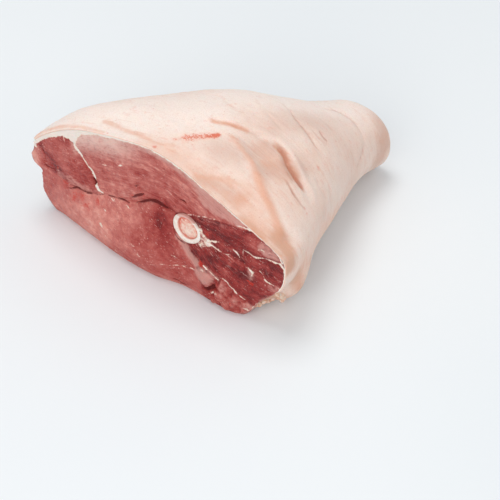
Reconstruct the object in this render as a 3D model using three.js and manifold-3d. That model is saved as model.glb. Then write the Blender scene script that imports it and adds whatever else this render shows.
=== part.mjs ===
// A raw pork leg joint: the shank half of a hind leg, rind on and bone in.
// It lies on its inner side, with the sawn cut of the thigh facing -X.
// Millimetres. +X runs along the leg from the cut to the shank, +Y to the hamstring side and +Z up.
// The origin is on the surface that the leg lies on, under the middle of its box.

import * as THREE from 'three';
import { mergeVertices } from 'three/addons/utils/BufferGeometryUtils.js';
import Module from 'manifold-3d';

const wasm = await Module();
wasm.setup();

// ---------------------------------------------------------------- driving dimensions

const legLength = 223; // from the rim of the cut to the end of the shank
const cutX = -103.6; // the plane of the rim of the cut
const clearance = 0.3; // between a bone and the hole that it lies in

// The rim of the cut, [y, z]: front tip, crest, hamstring nub, underside, and back to the tip.
const cutRim = [
  [-141, 70], [-139, 83], [-130.5, 90], [-89, 108.7], [-60.5, 119.5], [-34.5, 130],
  [-6.5, 134.5], [19, 131.5], [73.5, 116.5], [108, 98], [136, 74], [136.5, 66],
  [141, 56], [139, 48], [130.5, 43], [131.5, 27], [129.5, 14], [122.5, 5], [114.5, 0],
  [7.5, 0], [-93.5, 0], [-105.5, 7], [-112.5, 21], [-135.5, 48],
];
const quarterStarts = [0, 6, 12, 19, 24]; // the rim points where each quarter turn starts

// Profiles along the leg: [distance from the cut, value].
const hamSide = [[0, 141], [40, 115.5], [80, 80.5], [120, 42.5], [150, 15.5], [180, -7.5], [223, -33.5]];
const frontSide = [
  [0, -141], [20, -140.5], [60, -130], [100, -119], [140, -107.5], [180, -100.5], [223, -100.5],
];
const crestHeight = [[0, 134.5], [40, 137], [80, 134], [120, 123], [155, 100], [185, 82], [223, 66]];
const roundShare = [[0, 0], [8, 0.03], [32, 0.72], [80, 0.74], [120, 0.95], [170, 1], [223, 1]];
const underSquareness = [[0, 4.7], [60, 3.2], [120, 2.9], [180, 1.9], [223, 2.2]];
// Under the front side the rind hangs in a flap that starts a little behind the rim.
const flapShare = [[0, 0], [18, 0.02], [34, 0.95], [70, 0.8], [120, 0.95], [170, 1], [223, 1]];
const flapSquareness = [[0, 4.7], [34, 5], [64, 3.2], [120, 2.9], [180, 1.9], [223, 2.2]];
const flapTurns = { from: 0.72, full: 0.8 };
const overSquareness = 2.15;
const sag = 1.5; // how much of each section is pressed flat where the leg lies on it
const endRounding = 10; // radius of the rind where it turns in at the shank end
const endDish = 2.5; // how far the meat draws back inside the shank end
const endDishRim = 0.3; // the outer share of the shank end over which it does so

const fatSwell = { height: 6.5, distance: 11, from: 118, full: 150, fade: 168, to: 182 }; // behind the rim

// The lower part of the cut bulges towards -X: [y, bulge].
const lowBulge = [
  [-142, 0], [-107, 4], [-87, 9.5], [-37, 9], [-7, 14.5], [32, 13.5], [72, 8], [122, 0.5], [143, 0],
];
const bulgeBottom = 12;
const bulgeTop = 88;
const underTurn = 2; // how far the lowest edge of the cut turns back under
const reliefFade = 0.86; // share of the way to the rim from where the relief of the cut fades out

// Muscle bellies that stand out of the cut: centre [y, z], reach [y, z] and height.
const bellies = [
  { at: [28, 95], reach: [48, 26], height: 2.6 },
  { at: [98, 70], reach: [26, 20], height: 2.2 },
  { at: [78, 26], reach: [42, 18], height: 2.4 },
  { at: [10, 32], reach: [34, 26], height: 1.6 },
  { at: [-92, 84], reach: [34, 14], height: 1.6 },
  { at: [-98, 52], reach: [30, 15], height: 1.8 },
];

// Grooves between the muscles in the cut: points [y, z], width and depth.
const seams = [
  { at: [[94, 48], [80, 49], [70, 50], [61, 53], [51, 57.5], [30, 63], [16, 64.5]], width: 4.5, depth: 1.2 },
  { at: [[16, 64.5], [9, 70], [0, 75.5], [-11, 76.7], [-24, 74.5]], width: 5, depth: 2.2 },
  { at: [[84, 95], [78, 88.4], [70.5, 79], [62.8, 71], [59.8, 61]], width: 4.5, depth: 1.2 },
  { at: [[130, 62], [122, 59], [110, 57]], width: 5, depth: 1.4 },
  { at: [[-31, 52.4], [-38, 45.7], [-45.5, 39], [-50.7, 32.6]], width: 4.5, depth: 1.2 },
  { at: [[-66, 17], [-79, 34.6], [-89.5, 27.9], [-96.3, 22.5], [-106, 14]], width: 5, depth: 1.6 },
  { at: [[-58.5, 11.5], [-68, 18]], width: 5.5, depth: 3 },
  { at: [[-98, 73.7], [-110, 71.4], [-129, 77.8], [-139, 79]], width: 4.5, depth: 0.9 },
];

// Folds of the rind: points [distance from the cut, turn in degrees], width and height above the skin.
const folds = [
  { at: [[57, 85], [65, 76], [72, 66]], width: 4, height: -0.7 },
  { at: [[73, 65], [77, 59], [75, 50], [69, 44], [65, 36], [64, 23]], width: 4.6, height: -2.2 },
  { at: [[75, 67], [81, 57], [79, 48], [75, 41], [70, 32], [69, 22]], width: 4.6, height: 1.4 },
  { at: [[50, 70], [43, 58], [29, 45], [20, 30], [15, 20]], width: 5, height: 1.6 },
  { at: [[3, 66], [15, 59], [20, 51], [20, 44], [19, 36]], width: 5, height: 1.2 },
  { at: [[129, 80], [117, 65], [110, 49], [108, 38]], width: 4.5, height: -0.8 },
  { at: [[168, 85], [180, 80], [184, 66], [184, 42], [180, 27], [162, 9]], width: 4.5, height: -0.7 },
];
const plainRim = 8; // folds and hollows grow to their full height over this distance from the cut

// Broad hollows of the rind: centre [distance, turn], radius and depth.
const hollows = [
  { at: [60, 56], radius: 19, depth: 3 },
  { at: [13, 14], radius: 9, depth: 2 },
  { at: [126, 74], radius: 20, depth: 2 },
];

// Bones: the outline's centre [y, z] at its sawn end and at its inner end, and its half sizes.
const thighBone = {
  sawn: [-39.8, 65], inner: [-55, 50], half: [15.1, 15.7], egg: 0.03, wall: 4.8, length: 120, proud: 1,
};
const shinBone = {
  sawn: [-69, 34], inner: [-64, 44], half: [11.5, 10.5], egg: 0.08, wall: 4.2, length: 60, proud: 0.6,
};
const calfBone = { sawn: [-51, 33], inner: [-42, 41], half: [3.8, 3.2], egg: 0, length: 45, proud: 0.6 };
const marrowSink = 0.8; // how far the marrow lies below the sawn bone
const cutterReach = 20; // how far a cutter reaches out past a sawn end

// ---------------------------------------------------------------- resolution

const around = 88; // points round the leg
const sideStep = 6; // along the leg
const rimSteps = [2, 6, 12]; // closer rings just behind the rim
const endSteps = [0.45, 0.75, 0.93, 1]; // shares of the rounding at the shank end
const faceRings = [0.02, 0.1, 0.19, 0.28, 0.37, 0.46, 0.55, 0.64, 0.73, 0.81, 0.88, 0.95];
const spine = { front: -106, ham: 100, height: 54 }; // the line that the cut's rings shrink to
const endRings = [0.92, 0.78, 0.5];
const boneSides = 28;

// ---------------------------------------------------------------- helpers

const lerp = (a, b, share) => a + (b - a) * share;

function smoothStep(value, from, to) {
  const share = Math.min(Math.max((value - from) / (to - from), 0), 1);
  return share * share * (3 - 2 * share);
}

// A smooth curve through keys of the form [place, value, value...]; gives the values at a place.
function through(keys, place) {
  const last = keys.length - 1;
  let start = 0;
  while (start < last - 1 && place >= keys[start + 1][0]) start += 1;
  const end = start + 1;
  const span = keys[end][0] - keys[start][0];
  const share = Math.min(Math.max((place - keys[start][0]) / span, 0), 1);
  const slope = (key, axis) => {
    const before = keys[Math.max(key - 1, 0)];
    const after = keys[Math.min(key + 1, last)];
    return (after[axis] - before[axis]) / (after[0] - before[0]);
  };
  const values = [];
  for (let axis = 1; axis < keys[0].length; axis += 1) {
    const square = share * share;
    const cube = square * share;
    values.push(
      (2 * cube - 3 * square + 1) * keys[start][axis]
      + (cube - 2 * square + share) * span * slope(start, axis)
      + (3 * square - 2 * cube) * keys[end][axis]
      + (cube - square) * span * slope(end, axis),
    );
  }
  return values.length === 1 ? values[0] : values;
}

// The distance from a point to a run of straight stretches, in any number of axes.
function distanceToRun(point, run) {
  let nearest = Infinity;
  for (let i = 0; i + 1 < run.length; i += 1) {
    const along = run[i + 1].map((value, axis) => value - run[i][axis]);
    const from = point.map((value, axis) => value - run[i][axis]);
    const dot = along.reduce((sum, value, axis) => sum + value * from[axis], 0);
    const size = along.reduce((sum, value) => sum + value * value, 0);
    const share = Math.min(Math.max(dot / size, 0), 1);
    nearest = Math.min(nearest, Math.hypot(...from.map((value, axis) => value - share * along[axis])));
  }
  return nearest;
}

const hump = (distance, width) => Math.exp(-((distance / width) ** 2));

// ---------------------------------------------------------------- the leg's sections

// The rim as a closed run of keys [length along it, y, z], with a key more at either end.
function rimKeys() {
  const count = cutRim.length;
  const keys = [[0, ...cutRim[0]]];
  for (let i = 1; i <= count + 1; i += 1) {
    const [y, z] = cutRim[i % count];
    const before = keys[i - 1];
    keys.push([before[0] + Math.hypot(y - before[1], z - before[2]), y, z]);
  }
  const [y, z] = cutRim[count - 1];
  keys.unshift([-Math.hypot(y - cutRim[0][0], z - cutRim[0][1]), y, z]);
  return keys;
}

const keysOfRim = rimKeys();

// The rim at a turn from 0 to 1, where each quarter starts at its own rim point.
function rimPoint(turn) {
  const quarter = Math.min(Math.floor(turn * 4), 3);
  const from = keysOfRim[quarterStarts[quarter] + 1][0];
  const to = keysOfRim[quarterStarts[quarter + 1] + 1][0];
  const [y, z] = through(keysOfRim, lerp(from, to, turn * 4 - quarter));
  return [y, Math.max(z, 0)];
}

// A circle drawn out towards a square, above and below by its own amount.
function roundedSquare(turn, squareness) {
  const angle = turn * 2 * Math.PI;
  const across = Math.abs(Math.cos(angle)) ** squareness;
  const up = Math.abs(Math.sin(angle)) ** squareness;
  const radius = (across + up) ** (-1 / squareness);
  return [-Math.cos(angle) * radius, Math.sin(angle) * radius];
}

function fitted(points, [left, right], [low, high]) {
  const ys = points.map((point) => point[0]);
  const zs = points.map((point) => point[1]);
  const [y0, y1] = [Math.min(...ys), Math.max(...ys)];
  const [z0, z1] = [Math.min(...zs), Math.max(...zs)];
  return points.map(([y, z]) => [
    lerp(left, right, (y - y0) / (y1 - y0)),
    lerp(low, high, (z - z0) / (z1 - z0)),
  ]);
}

const turns = Array.from({ length: around }, (_, i) => i / around);
const rim = turns.map(rimPoint);
const rimUnit = fitted(rim, [-1, 1], [-1, 1]);

// The section of the leg at a distance from the cut: one [y, z] for each turn.
function section(distance) {
  const plain = { share: through(roundShare, distance), under: through(underSquareness, distance) };
  const flap = { share: through(flapShare, distance), under: through(flapSquareness, distance) };
  const mixed = turns.map((turn, i) => {
    const inFlap = smoothStep(turn, flapTurns.from, flapTurns.full);
    const share = lerp(plain.share, flap.share, inFlap);
    const under = lerp(plain.under, flap.under, inFlap);
    const round = roundedSquare(turn, turn > 0.5 ? under : overSquareness);
    return [lerp(rimUnit[i][0], round[0], share), lerp(rimUnit[i][1], round[1], share)];
  });
  const sides = [through(frontSide, distance), through(hamSide, distance)];
  const crest = through(crestHeight, distance);
  const middle = [(sides[0] + sides[1]) / 2, crest / 2];
  const turnedIn = Math.max(distance - (legLength - endRounding), 0) / endRounding;
  const inset = endRounding * (1 - Math.sqrt(Math.max(1 - turnedIn * turnedIn, 0)));
  const shrink = [1 - (2 * inset) / (sides[1] - sides[0]), 1 - (2 * inset) / crest];
  return fitted(mixed, sides, [-sag, crest]).map(([y, z], i) => {
    const degrees = turns[i] * 360;
    const within = smoothStep(degrees, fatSwell.from, fatSwell.full)
      * (1 - smoothStep(degrees, fatSwell.fade, fatSwell.to));
    const behind = distance / fatSwell.distance;
    const swell = fatSwell.height * within * behind * Math.exp(1 - behind);
    const angle = turns[i] * 2 * Math.PI;
    return [
      middle[0] + (y - middle[0]) * shrink[0] - swell * Math.cos(angle),
      Math.max(middle[1] + (z - middle[1]) * shrink[1] + swell * Math.sin(angle), 0),
    ];
  });
}

// ---------------------------------------------------------------- the cut face

function lowBulgeAt(y, z) {
  const turnBack = underTurn * (1 - Math.min(z / bulgeBottom, 1)) ** 2;
  const bulge = Math.max(through(lowBulge, y), 0);
  return bulge * (1 - smoothStep(z, bulgeBottom, bulgeTop)) - turnBack * Math.min(bulge / underTurn, 1);
}

// How far the cut stands out towards -X at [y, z]; inside is 0 on the rim and 1 away from it.
function cutRelief(y, z, inside) {
  let relief = 0;
  for (const { at, reach, height } of bellies) {
    relief += height * hump(Math.hypot((y - at[0]) / reach[0], (z - at[1]) / reach[1]), 1);
  }
  for (const { at, width, depth } of seams) {
    relief -= depth * hump(distanceToRun([y, z], at), width);
  }
  return lowBulgeAt(y, z) + relief * inside;
}

// The cut's rings shrink to a line, so that they stay evenly spaced: ring points at one share of the way.
function cutRing(share) {
  return rim.map(([y, z], i) => {
    const fromFront = 1 - Math.abs(turns[i] * 2 - 1);
    const middle = [lerp(spine.front, spine.ham, fromFront), spine.height];
    const point = [lerp(middle[0], y, share), lerp(middle[1], z, share)];
    return [cutX - cutRelief(...point, 1 - smoothStep(share, reliefFade, 1)), ...point];
  });
}

// ---------------------------------------------------------------- the skin

function skinRing(distance) {
  const bulgeLeft = 1 - distance / legLength;
  return section(distance).map(([y, z], i) => [cutX + distance - lowBulgeAt(...rim[i]) * bulgeLeft, y, z]);
}

function skinPoint([distance, degrees]) {
  const ring = skinRing(distance);
  const place = (degrees / 360) * around;
  const [from, to] = [ring[Math.floor(place)], ring[(Math.floor(place) + 1) % around]];
  return from.map((value, axis) => lerp(value, to[axis], place % 1));
}

const foldRuns = folds.map((fold) => fold.at.map(skinPoint));
const hollowCentres = hollows.map((hollow) => skinPoint(hollow.at));

function skinRelief(point) {
  let height = 0;
  folds.forEach((fold, i) => {
    height += fold.height * hump(distanceToRun(point, foldRuns[i]), fold.width);
  });
  hollows.forEach((hollow, i) => {
    const away = Math.hypot(...point.map((value, axis) => value - hollowCentres[i][axis]));
    height -= hollow.depth * hump(away, hollow.radius);
  });
  return height;
}

// Moves each ring point along its own normal by the relief, and keeps the underside flat.
function withRelief(rings) {
  const at = (r, i) => new THREE.Vector3(...rings[r][(i + around) % around]);
  return rings.map((ring, r) => ring.map((point, i) => {
    const along = at(Math.min(r + 1, rings.length - 1), i).sub(at(Math.max(r - 1, 0), i));
    const round = at(r, i + 1).sub(at(r, i - 1));
    const outward = along.cross(round).normalize();
    const height = skinRelief(point) * smoothStep(point[0] - cutX, 0, plainRim);
    const [x, y, z] = outward.multiplyScalar(height).add(new THREE.Vector3(...point)).toArray();
    return [x, y, Math.max(z, 0)];
  }));
}

// ---------------------------------------------------------------- solids

// A closed mesh from rings of points. Its first ring closes on a point or, for the cut, across the ring.
function ringStack(rings, startPoint, endPoint) {
  const sides = rings[0].length;
  const points = rings.flat();
  const faces = [];
  for (let r = 0; r + 1 < rings.length; r += 1) {
    for (let i = 0; i < sides; i += 1) {
      const [a, b] = [r * sides + i, r * sides + ((i + 1) % sides)];
      faces.push(a, a + sides, b + sides, a, b + sides, b);
    }
  }
  const lastRing = (rings.length - 1) * sides;
  points.push(endPoint);
  for (let i = 0; i < sides; i += 1) {
    faces.push(lastRing + i, points.length - 1, lastRing + ((i + 1) % sides));
  }
  if (startPoint) {
    points.push(startPoint);
    for (let i = 0; i < sides; i += 1) faces.push(i, (i + 1) % sides, points.length - 1);
  } else {
    // Across the ring: each point meets the one opposite, on the other side of the line.
    for (let i = 0; i < sides / 2; i += 1) {
      const [next, opposite] = [sides - i - 1, (sides - i) % sides];
      if (i + 1 < sides / 2) faces.push(i, i + 1, next);
      if (i > 0) faces.push(i, next, opposite);
    }
  }
  const geometry = new THREE.BufferGeometry();
  geometry.setAttribute('position', new THREE.Float32BufferAttribute(points.flat(), 3));
  geometry.setIndex(faces);
  return geometry;
}

function toSolid(geometry) {
  const bare = geometry.clone();
  bare.deleteAttribute('normal');
  bare.deleteAttribute('uv');
  const merged = mergeVertices(bare);
  return new wasm.Manifold(new wasm.Mesh({
    numProp: 3,
    vertProperties: merged.attributes.position.array,
    triVerts: new Uint32Array(merged.index.array),
  }));
}

function toGeometry(solid) {
  const { vertProperties, triVerts } = solid.getMesh();
  const geometry = new THREE.BufferGeometry();
  geometry.setAttribute('position', new THREE.BufferAttribute(new Float32Array(vertProperties), 3));
  geometry.setIndex(new THREE.BufferAttribute(new Uint32Array(triVerts), 1));
  geometry.computeVertexNormals();
  return geometry;
}

// ---------------------------------------------------------------- the leg

function legSolid() {
  const cut = faceRings.map(cutRing);
  const lastPlain = legLength - endRounding;
  const steps = Math.round((lastPlain - rimSteps.at(-1)) / sideStep);
  const distances = [
    0, ...rimSteps,
    ...Array.from({ length: steps }, (_, i) => lerp(rimSteps.at(-1), lastPlain, (i + 1) / steps)),
    ...endSteps.map((share) => lastPlain + share * endRounding),
  ];
  const skin = withRelief(distances.map(skinRing));
  const edge = skin.at(-1);
  const mean = (axis) => edge.reduce((sum, point) => sum + point[axis], 0) / around;
  const middle = [cutX + legLength, mean(1), mean(2)];
  const end = endRings.map((share) => edge.map(([x, y, z]) => [
    x - endDish * smoothStep(1 - share, 0, endDishRim), lerp(middle[1], y, share), lerp(middle[2], z, share),
  ]));
  return toSolid(ringStack([...cut, ...skin, ...end], null, [middle[0] - endDish, middle[1], middle[2]]));
}

// ---------------------------------------------------------------- the bones

// A bone's outline at x, moved in (or out) by an inset: a rounded triangle that points to the front.
function boneRing(bone, x, reach, inset) {
  return Array.from({ length: boneSides }, (_, i) => {
    const angle = (i / boneSides) * 2 * Math.PI;
    const grow = 1 + bone.egg * Math.cos(3 * angle);
    return [
      x,
      lerp(bone.sawn[0], bone.inner[0], reach) - (bone.half[0] * grow - inset) * Math.cos(angle),
      lerp(bone.sawn[1], bone.inner[1], reach) + (bone.half[1] * grow - inset) * Math.sin(angle),
    ];
  });
}

// A rod of a bone's outline between two depths below its sawn end, which faces -X (way 1) or +X (way -1).
function rod(bone, sawnX, way, from, to, inset) {
  const depths = way > 0 ? [from, to] : [to, from];
  const centre = (depth) => [
    sawnX + way * depth,
    lerp(bone.sawn[0], bone.inner[0], depth / bone.length),
    lerp(bone.sawn[1], bone.inner[1], depth / bone.length),
  ];
  const rings = depths.map((depth) => boneRing(bone, sawnX + way * depth, depth / bone.length, inset));
  return toSolid(ringStack(rings, centre(depths[0]), centre(depths[1])));
}

const sawnPlanes = {
  thigh: cutX - cutRelief(...thighBone.sawn, 1) - thighBone.proud,
  shin: cutX + legLength - endDish + shinBone.proud,
};

const parts = [];

function addPart(name, solid, colour, roughness) {
  const material = new THREE.MeshStandardMaterial({ color: colour, roughness, metalness: 0 });
  const mesh = new THREE.Mesh(toGeometry(solid), material);
  mesh.name = name;
  parts.push(mesh);
}

// Cuts a bone's hole in the leg, and adds the bone and, where its wall is given, the marrow in it.
function addBone(leg, name, bone, sawnX, way, marrowName) {
  const room = rod(bone, sawnX, way, -cutterReach, bone.length + clearance, -clearance);
  let shaft = rod(bone, sawnX, way, 0, bone.length, 0);
  if (marrowName) {
    const depth = bone.length - bone.wall;
    shaft = shaft.subtract(rod(bone, sawnX, way, -cutterReach, depth, bone.wall));
    const marrow = rod(bone, sawnX, way, marrowSink, depth - clearance, bone.wall + clearance);
    addPart(marrowName, marrow, '#e9b7a3', 0.45);
  }
  addPart(name, shaft, '#e9dfce', 0.5);
  return leg.subtract(room);
}

let leg = legSolid();
leg = addBone(leg, 'thigh_bone', thighBone, sawnPlanes.thigh, 1, 'thigh_marrow');
leg = addBone(leg, 'shin_bone', shinBone, sawnPlanes.shin, -1, 'shin_marrow');
leg = addBone(leg, 'calf_bone', calfBone, sawnPlanes.shin, -1);
addPart('leg', leg, '#e3c4b5', 0.55);

const joint = new THREE.Group();
joint.add(...parts);

export default joint;
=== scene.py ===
"""A raw pork leg joint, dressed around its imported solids: rind, lean, bones, marrow and scraps of fat.

Blender works in metres. The shapes are worked out here in millimetres, in the frame of the solids:
+X runs along the leg from the cut to the shank, +Y to the hamstring side and +Z up.
"""

import math

import bpy
import numpy as np
from mathutils import Matrix, Vector


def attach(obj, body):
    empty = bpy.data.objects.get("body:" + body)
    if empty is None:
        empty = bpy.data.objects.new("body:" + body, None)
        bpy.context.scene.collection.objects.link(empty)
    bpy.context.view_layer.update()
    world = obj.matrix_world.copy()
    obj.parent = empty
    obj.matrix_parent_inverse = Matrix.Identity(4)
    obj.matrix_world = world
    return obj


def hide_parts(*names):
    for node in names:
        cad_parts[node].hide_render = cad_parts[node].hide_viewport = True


MM = 0.001

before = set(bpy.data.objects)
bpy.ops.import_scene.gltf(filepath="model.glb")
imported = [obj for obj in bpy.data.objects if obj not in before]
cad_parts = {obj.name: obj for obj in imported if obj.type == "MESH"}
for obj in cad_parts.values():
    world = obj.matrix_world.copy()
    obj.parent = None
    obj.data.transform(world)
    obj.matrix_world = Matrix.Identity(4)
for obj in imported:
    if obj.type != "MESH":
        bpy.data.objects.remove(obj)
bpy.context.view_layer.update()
scene = bpy.context.scene

# ---------------------------------------------------------------- camera

CAMERA_AT = Vector((-856.99, -691.51, 1011.3)) * MM
CAMERA_RIGHT = Vector((0.60263, -0.79787, -0.01549))
CAMERA_BACK = Vector((-0.56376, -0.43938, 0.69937))
LENS = 117.756  # mm, on a 36 mm sensor
SENSOR = 36.0


def add_camera():
    data = bpy.data.cameras.new("camera")
    data.lens = LENS
    data.sensor_width = SENSOR
    data.clip_start = 0.05
    data.clip_end = 20.0
    camera = bpy.data.objects.new("camera", data)
    up = CAMERA_BACK.cross(CAMERA_RIGHT)
    axes = Matrix((CAMERA_RIGHT, up, CAMERA_BACK)).transposed().to_4x4()
    camera.matrix_world = Matrix.Translation(CAMERA_AT) @ axes
    scene.collection.objects.link(camera)
    scene.camera = camera


add_camera()

# ---------------------------------------------------------------- driving dimensions: the solids' own

LEG_LENGTH = 223  # from the rim of the cut to the end of the shank
CUT_X = -103.6  # the plane of the rim of the cut

# The rim of the cut, (y, z): front tip, crest, hamstring nub, underside, and back to the tip.
CUT_RIM = [
    (-141, 70), (-139, 83), (-130.5, 90), (-89, 108.7), (-60.5, 119.5), (-34.5, 130),
    (-6.5, 134.5), (19, 131.5), (73.5, 116.5), (108, 98), (136, 74), (136.5, 66),
    (141, 56), (139, 48), (130.5, 43), (131.5, 27), (129.5, 14), (122.5, 5), (114.5, 0),
    (7.5, 0), (-93.5, 0), (-105.5, 7), (-112.5, 21), (-135.5, 48),
]
QUARTER_STARTS = (0, 6, 12, 19, 24)  # the rim points where each quarter turn starts

# Profiles along the leg: (distance from the cut, value).
HAM_SIDE = [(0, 141), (40, 115.5), (80, 80.5), (120, 42.5), (150, 15.5), (180, -7.5), (223, -33.5)]
FRONT_SIDE = [(0, -141), (20, -140.5), (60, -130), (100, -119), (140, -107.5), (180, -100.5), (223, -100.5)]
CREST_HEIGHT = [(0, 134.5), (40, 137), (80, 134), (120, 123), (155, 100), (185, 82), (223, 66)]
ROUND_SHARE = [(0, 0), (8, 0.03), (32, 0.72), (80, 0.74), (120, 0.95), (170, 1), (223, 1)]
UNDER_SQUARENESS = [(0, 4.7), (60, 3.2), (120, 2.9), (180, 1.9), (223, 2.2)]
FLAP_SHARE = [(0, 0), (18, 0.02), (34, 0.95), (70, 0.8), (120, 0.95), (170, 1), (223, 1)]
FLAP_SQUARENESS = [(0, 4.7), (34, 5), (64, 3.2), (120, 2.9), (180, 1.9), (223, 2.2)]
FLAP_TURNS = (0.72, 0.8)
OVER_SQUARENESS = 2.15
SAG = 1.5
END_ROUNDING = 10
END_DISH = 2.5
END_DISH_RIM = 0.3
FAT_SWELL = {"height": 6.5, "distance": 11, "degrees": (118, 150, 168, 182)}

LOW_BULGE = [
    (-142, 0), (-107, 4), (-87, 9.5), (-37, 9), (-7, 14.5), (32, 13.5), (72, 8), (122, 0.5), (143, 0),
]
BULGE_BOTTOM, BULGE_TOP = 12, 88
UNDER_TURN = 2
RELIEF_FADE = 0.86

# Muscle bellies that stand out of the cut: centre (y, z), reach (y, z) and height.
BELLIES = [
    ((28, 95), (48, 26), 2.6), ((98, 70), (26, 20), 2.2), ((78, 26), (42, 18), 2.4),
    ((10, 32), (34, 26), 1.6), ((-92, 84), (34, 14), 1.6), ((-98, 52), (30, 15), 1.8),
]

# Folds of the rind: points (distance from the cut, turn in degrees), width and height above the skin.
FOLDS = [
    ([(57, 85), (65, 76), (72, 66)], 4, -0.7),
    ([(73, 65), (77, 59), (75, 50), (69, 44), (65, 36), (64, 23)], 4.6, -2.2),
    ([(75, 67), (81, 57), (79, 48), (75, 41), (70, 32), (69, 22)], 4.6, 1.4),
    ([(50, 70), (43, 58), (29, 45), (20, 30), (15, 20)], 5, 1.6),
    ([(3, 66), (15, 59), (20, 51), (20, 44), (19, 36)], 5, 1.2),
    ([(129, 80), (117, 65), (110, 49), (108, 38)], 4.5, -0.8),
    ([(168, 85), (180, 80), (184, 66), (184, 42), (180, 27), (162, 9)], 4.5, -0.7),
]
PLAIN_RIM = 8

# Broad hollows of the rind: centre (distance, turn), radius and depth.
HOLLOWS = [((60, 56), 19, 3), ((13, 14), 9, 2), ((126, 74), 20, 2)]

# Bones: the outline's centre (y, z) at its sawn end and at its inner end, its half sizes and the marrow's.
THIGH_BONE = {
    "sawn": (-39.8, 65), "inner": (-55, 50), "half": (15.1, 15.7), "egg": 0.03, "length": 120, "proud": 1,
    "marrow_shift": (-0.6, 2.2), "marrow_half": (10.1, 11.3),
}
SHIN_BONE = {
    "sawn": (-69, 34), "inner": (-64, 44), "half": (11.5, 10.5), "egg": 0.08, "length": 60, "proud": 0.6,
    "marrow_shift": (0.3, 0.2), "marrow_half": (7.2, 6.3),
}
CALF_BONE = {
    "sawn": (-51, 33), "inner": (-42, 41), "half": (3.8, 3.2), "egg": 0.0, "length": 45, "proud": 0.6,
    "marrow_shift": (0.1, 0.1), "marrow_half": (1.3, 1.0),
}

# ---------------------------------------------------------------- curves and noise


def lerp(a, b, share):
    return a + (b - a) * share


def smooth_step(value, start, end):
    share = np.clip((value - start) / (end - start), 0, 1)
    return share * share * (3 - 2 * share)


def through(keys, place):
    """A smooth curve through keys (place, value, value...), read at an array of places."""
    keys = np.array(keys, float)
    at, values = keys[:, 0], keys[:, 1:]
    last = len(at) - 1
    before, after = np.maximum(np.arange(last + 1) - 1, 0), np.minimum(np.arange(last + 1) + 1, last)
    slopes = (values[after] - values[before]) / (at[after] - at[before])[:, None]
    place = np.asarray(place, float)
    start = np.clip(np.searchsorted(at, place, side="right") - 1, 0, last - 1)
    span = (at[start + 1] - at[start])[..., None]
    share = np.clip((place[..., None] - at[start][..., None]) / span, 0, 1)
    square, cube = share**2, share**3
    result = (
        (2 * cube - 3 * square + 1) * values[start]
        + (cube - 2 * square + share) * span * slopes[start]
        + (3 * square - 2 * cube) * values[start + 1]
        + (cube - square) * span * slopes[start + 1]
    )
    return result[..., 0] if values.shape[1] == 1 else result


def window(value, start, full, fade, end):
    """0 up to start, 1 from full to fade and 0 again from end on."""
    return smooth_step(value, start, full) * (1 - smooth_step(value, fade, end))


def hump(distance, width):
    return np.exp(-((distance / width) ** 2))


def add_humps(total, points, humps):
    """A total with wide humps on it: centre (y, z), reach (y, z) and height."""
    for at, reach, height in humps:
        total = total + height * hump(np.linalg.norm((points - at) / np.array(reach), axis=-1), 1)
    return total


def strongest_spot(points, spots):
    """How strongly round spots show: centre, radius and strength."""
    return np.max([
        strength * hump(np.linalg.norm(points - at, axis=-1), radius) for at, radius, strength in spots
    ], axis=0)


def with_x(x, points):
    """Points (X, y, z) from one X, or an X for each of them, and points (y, z)."""
    column = np.broadcast_to(np.asarray(x, float)[..., None], (*points.shape[:-1], 1))
    return np.concatenate([column, points], -1)


def run_reach(points, run):
    """The distance from each point to a run, and how far along it the nearest place is, from 0 to 1."""
    lengths = np.linalg.norm(np.diff(run, axis=0), axis=1)
    starts = np.cumsum(lengths) - lengths
    nearest = np.full(points.shape[:-1], np.inf)
    place = np.zeros(points.shape[:-1])
    for start, end, length, before in zip(run[:-1], run[1:], lengths, starts):
        along = (end - start) / length
        share = np.clip((points - start) @ along, 0, length)
        away = np.linalg.norm(points - start - share[..., None] * along, axis=-1)
        closer = away < nearest
        nearest = np.where(closer, away, nearest)
        place = np.where(closer, before + share, place)
    return nearest, place / lengths.sum()


def run_distance(points, run):
    return run_reach(points, run)[0]


def rounded_run(run, steps):
    """The same run with its corners rounded: a smooth curve through its points."""
    run = np.array(run, float)
    lengths = np.concatenate([[0], np.cumsum(np.linalg.norm(np.diff(run, axis=0), axis=1))])
    return through(np.column_stack([lengths, run]), np.linspace(0, lengths[-1], steps * (len(run) - 1) + 1))


def inside_run(points, run):
    """How far points (y, z) lie inside a run of (y, z, half width), in mm; negative outside."""
    run = np.array(run, float)
    most = np.full(points.shape[:-1], -np.inf)
    for start, end in zip(run[:-1], run[1:]):
        along = (end - start)[:2]
        share = np.clip(((points - start[:2]) @ along) / max(along @ along, 1e-9), 0, 1)
        away = np.linalg.norm(points - start[:2] - share[..., None] * along, axis=-1)
        most = np.maximum(most, lerp(start[2], end[2], share) - away)
    return most


def inside_runs(points, runs):
    return np.max([inside_run(points, run) for run in runs], axis=0)


def inside_outline(points, outline):
    """How far points (y, z) lie inside a closed outline, in mm; negative outside."""
    outline = np.array(outline, float)
    closed = np.vstack([outline, outline[:1]])
    away = run_distance(points, closed)
    y, z = points[..., 0], points[..., 1]
    crossings = np.zeros(y.shape, int)
    for (y0, z0), (y1, z1) in zip(closed[:-1], closed[1:]):
        if z0 != z1:
            at = y0 + (z - z0) / (z1 - z0) * (y1 - y0)
            crossings += ((z0 > z) != (z1 > z)) & (y < at)
    return np.where(crossings % 2 == 1, away, -away)


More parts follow.
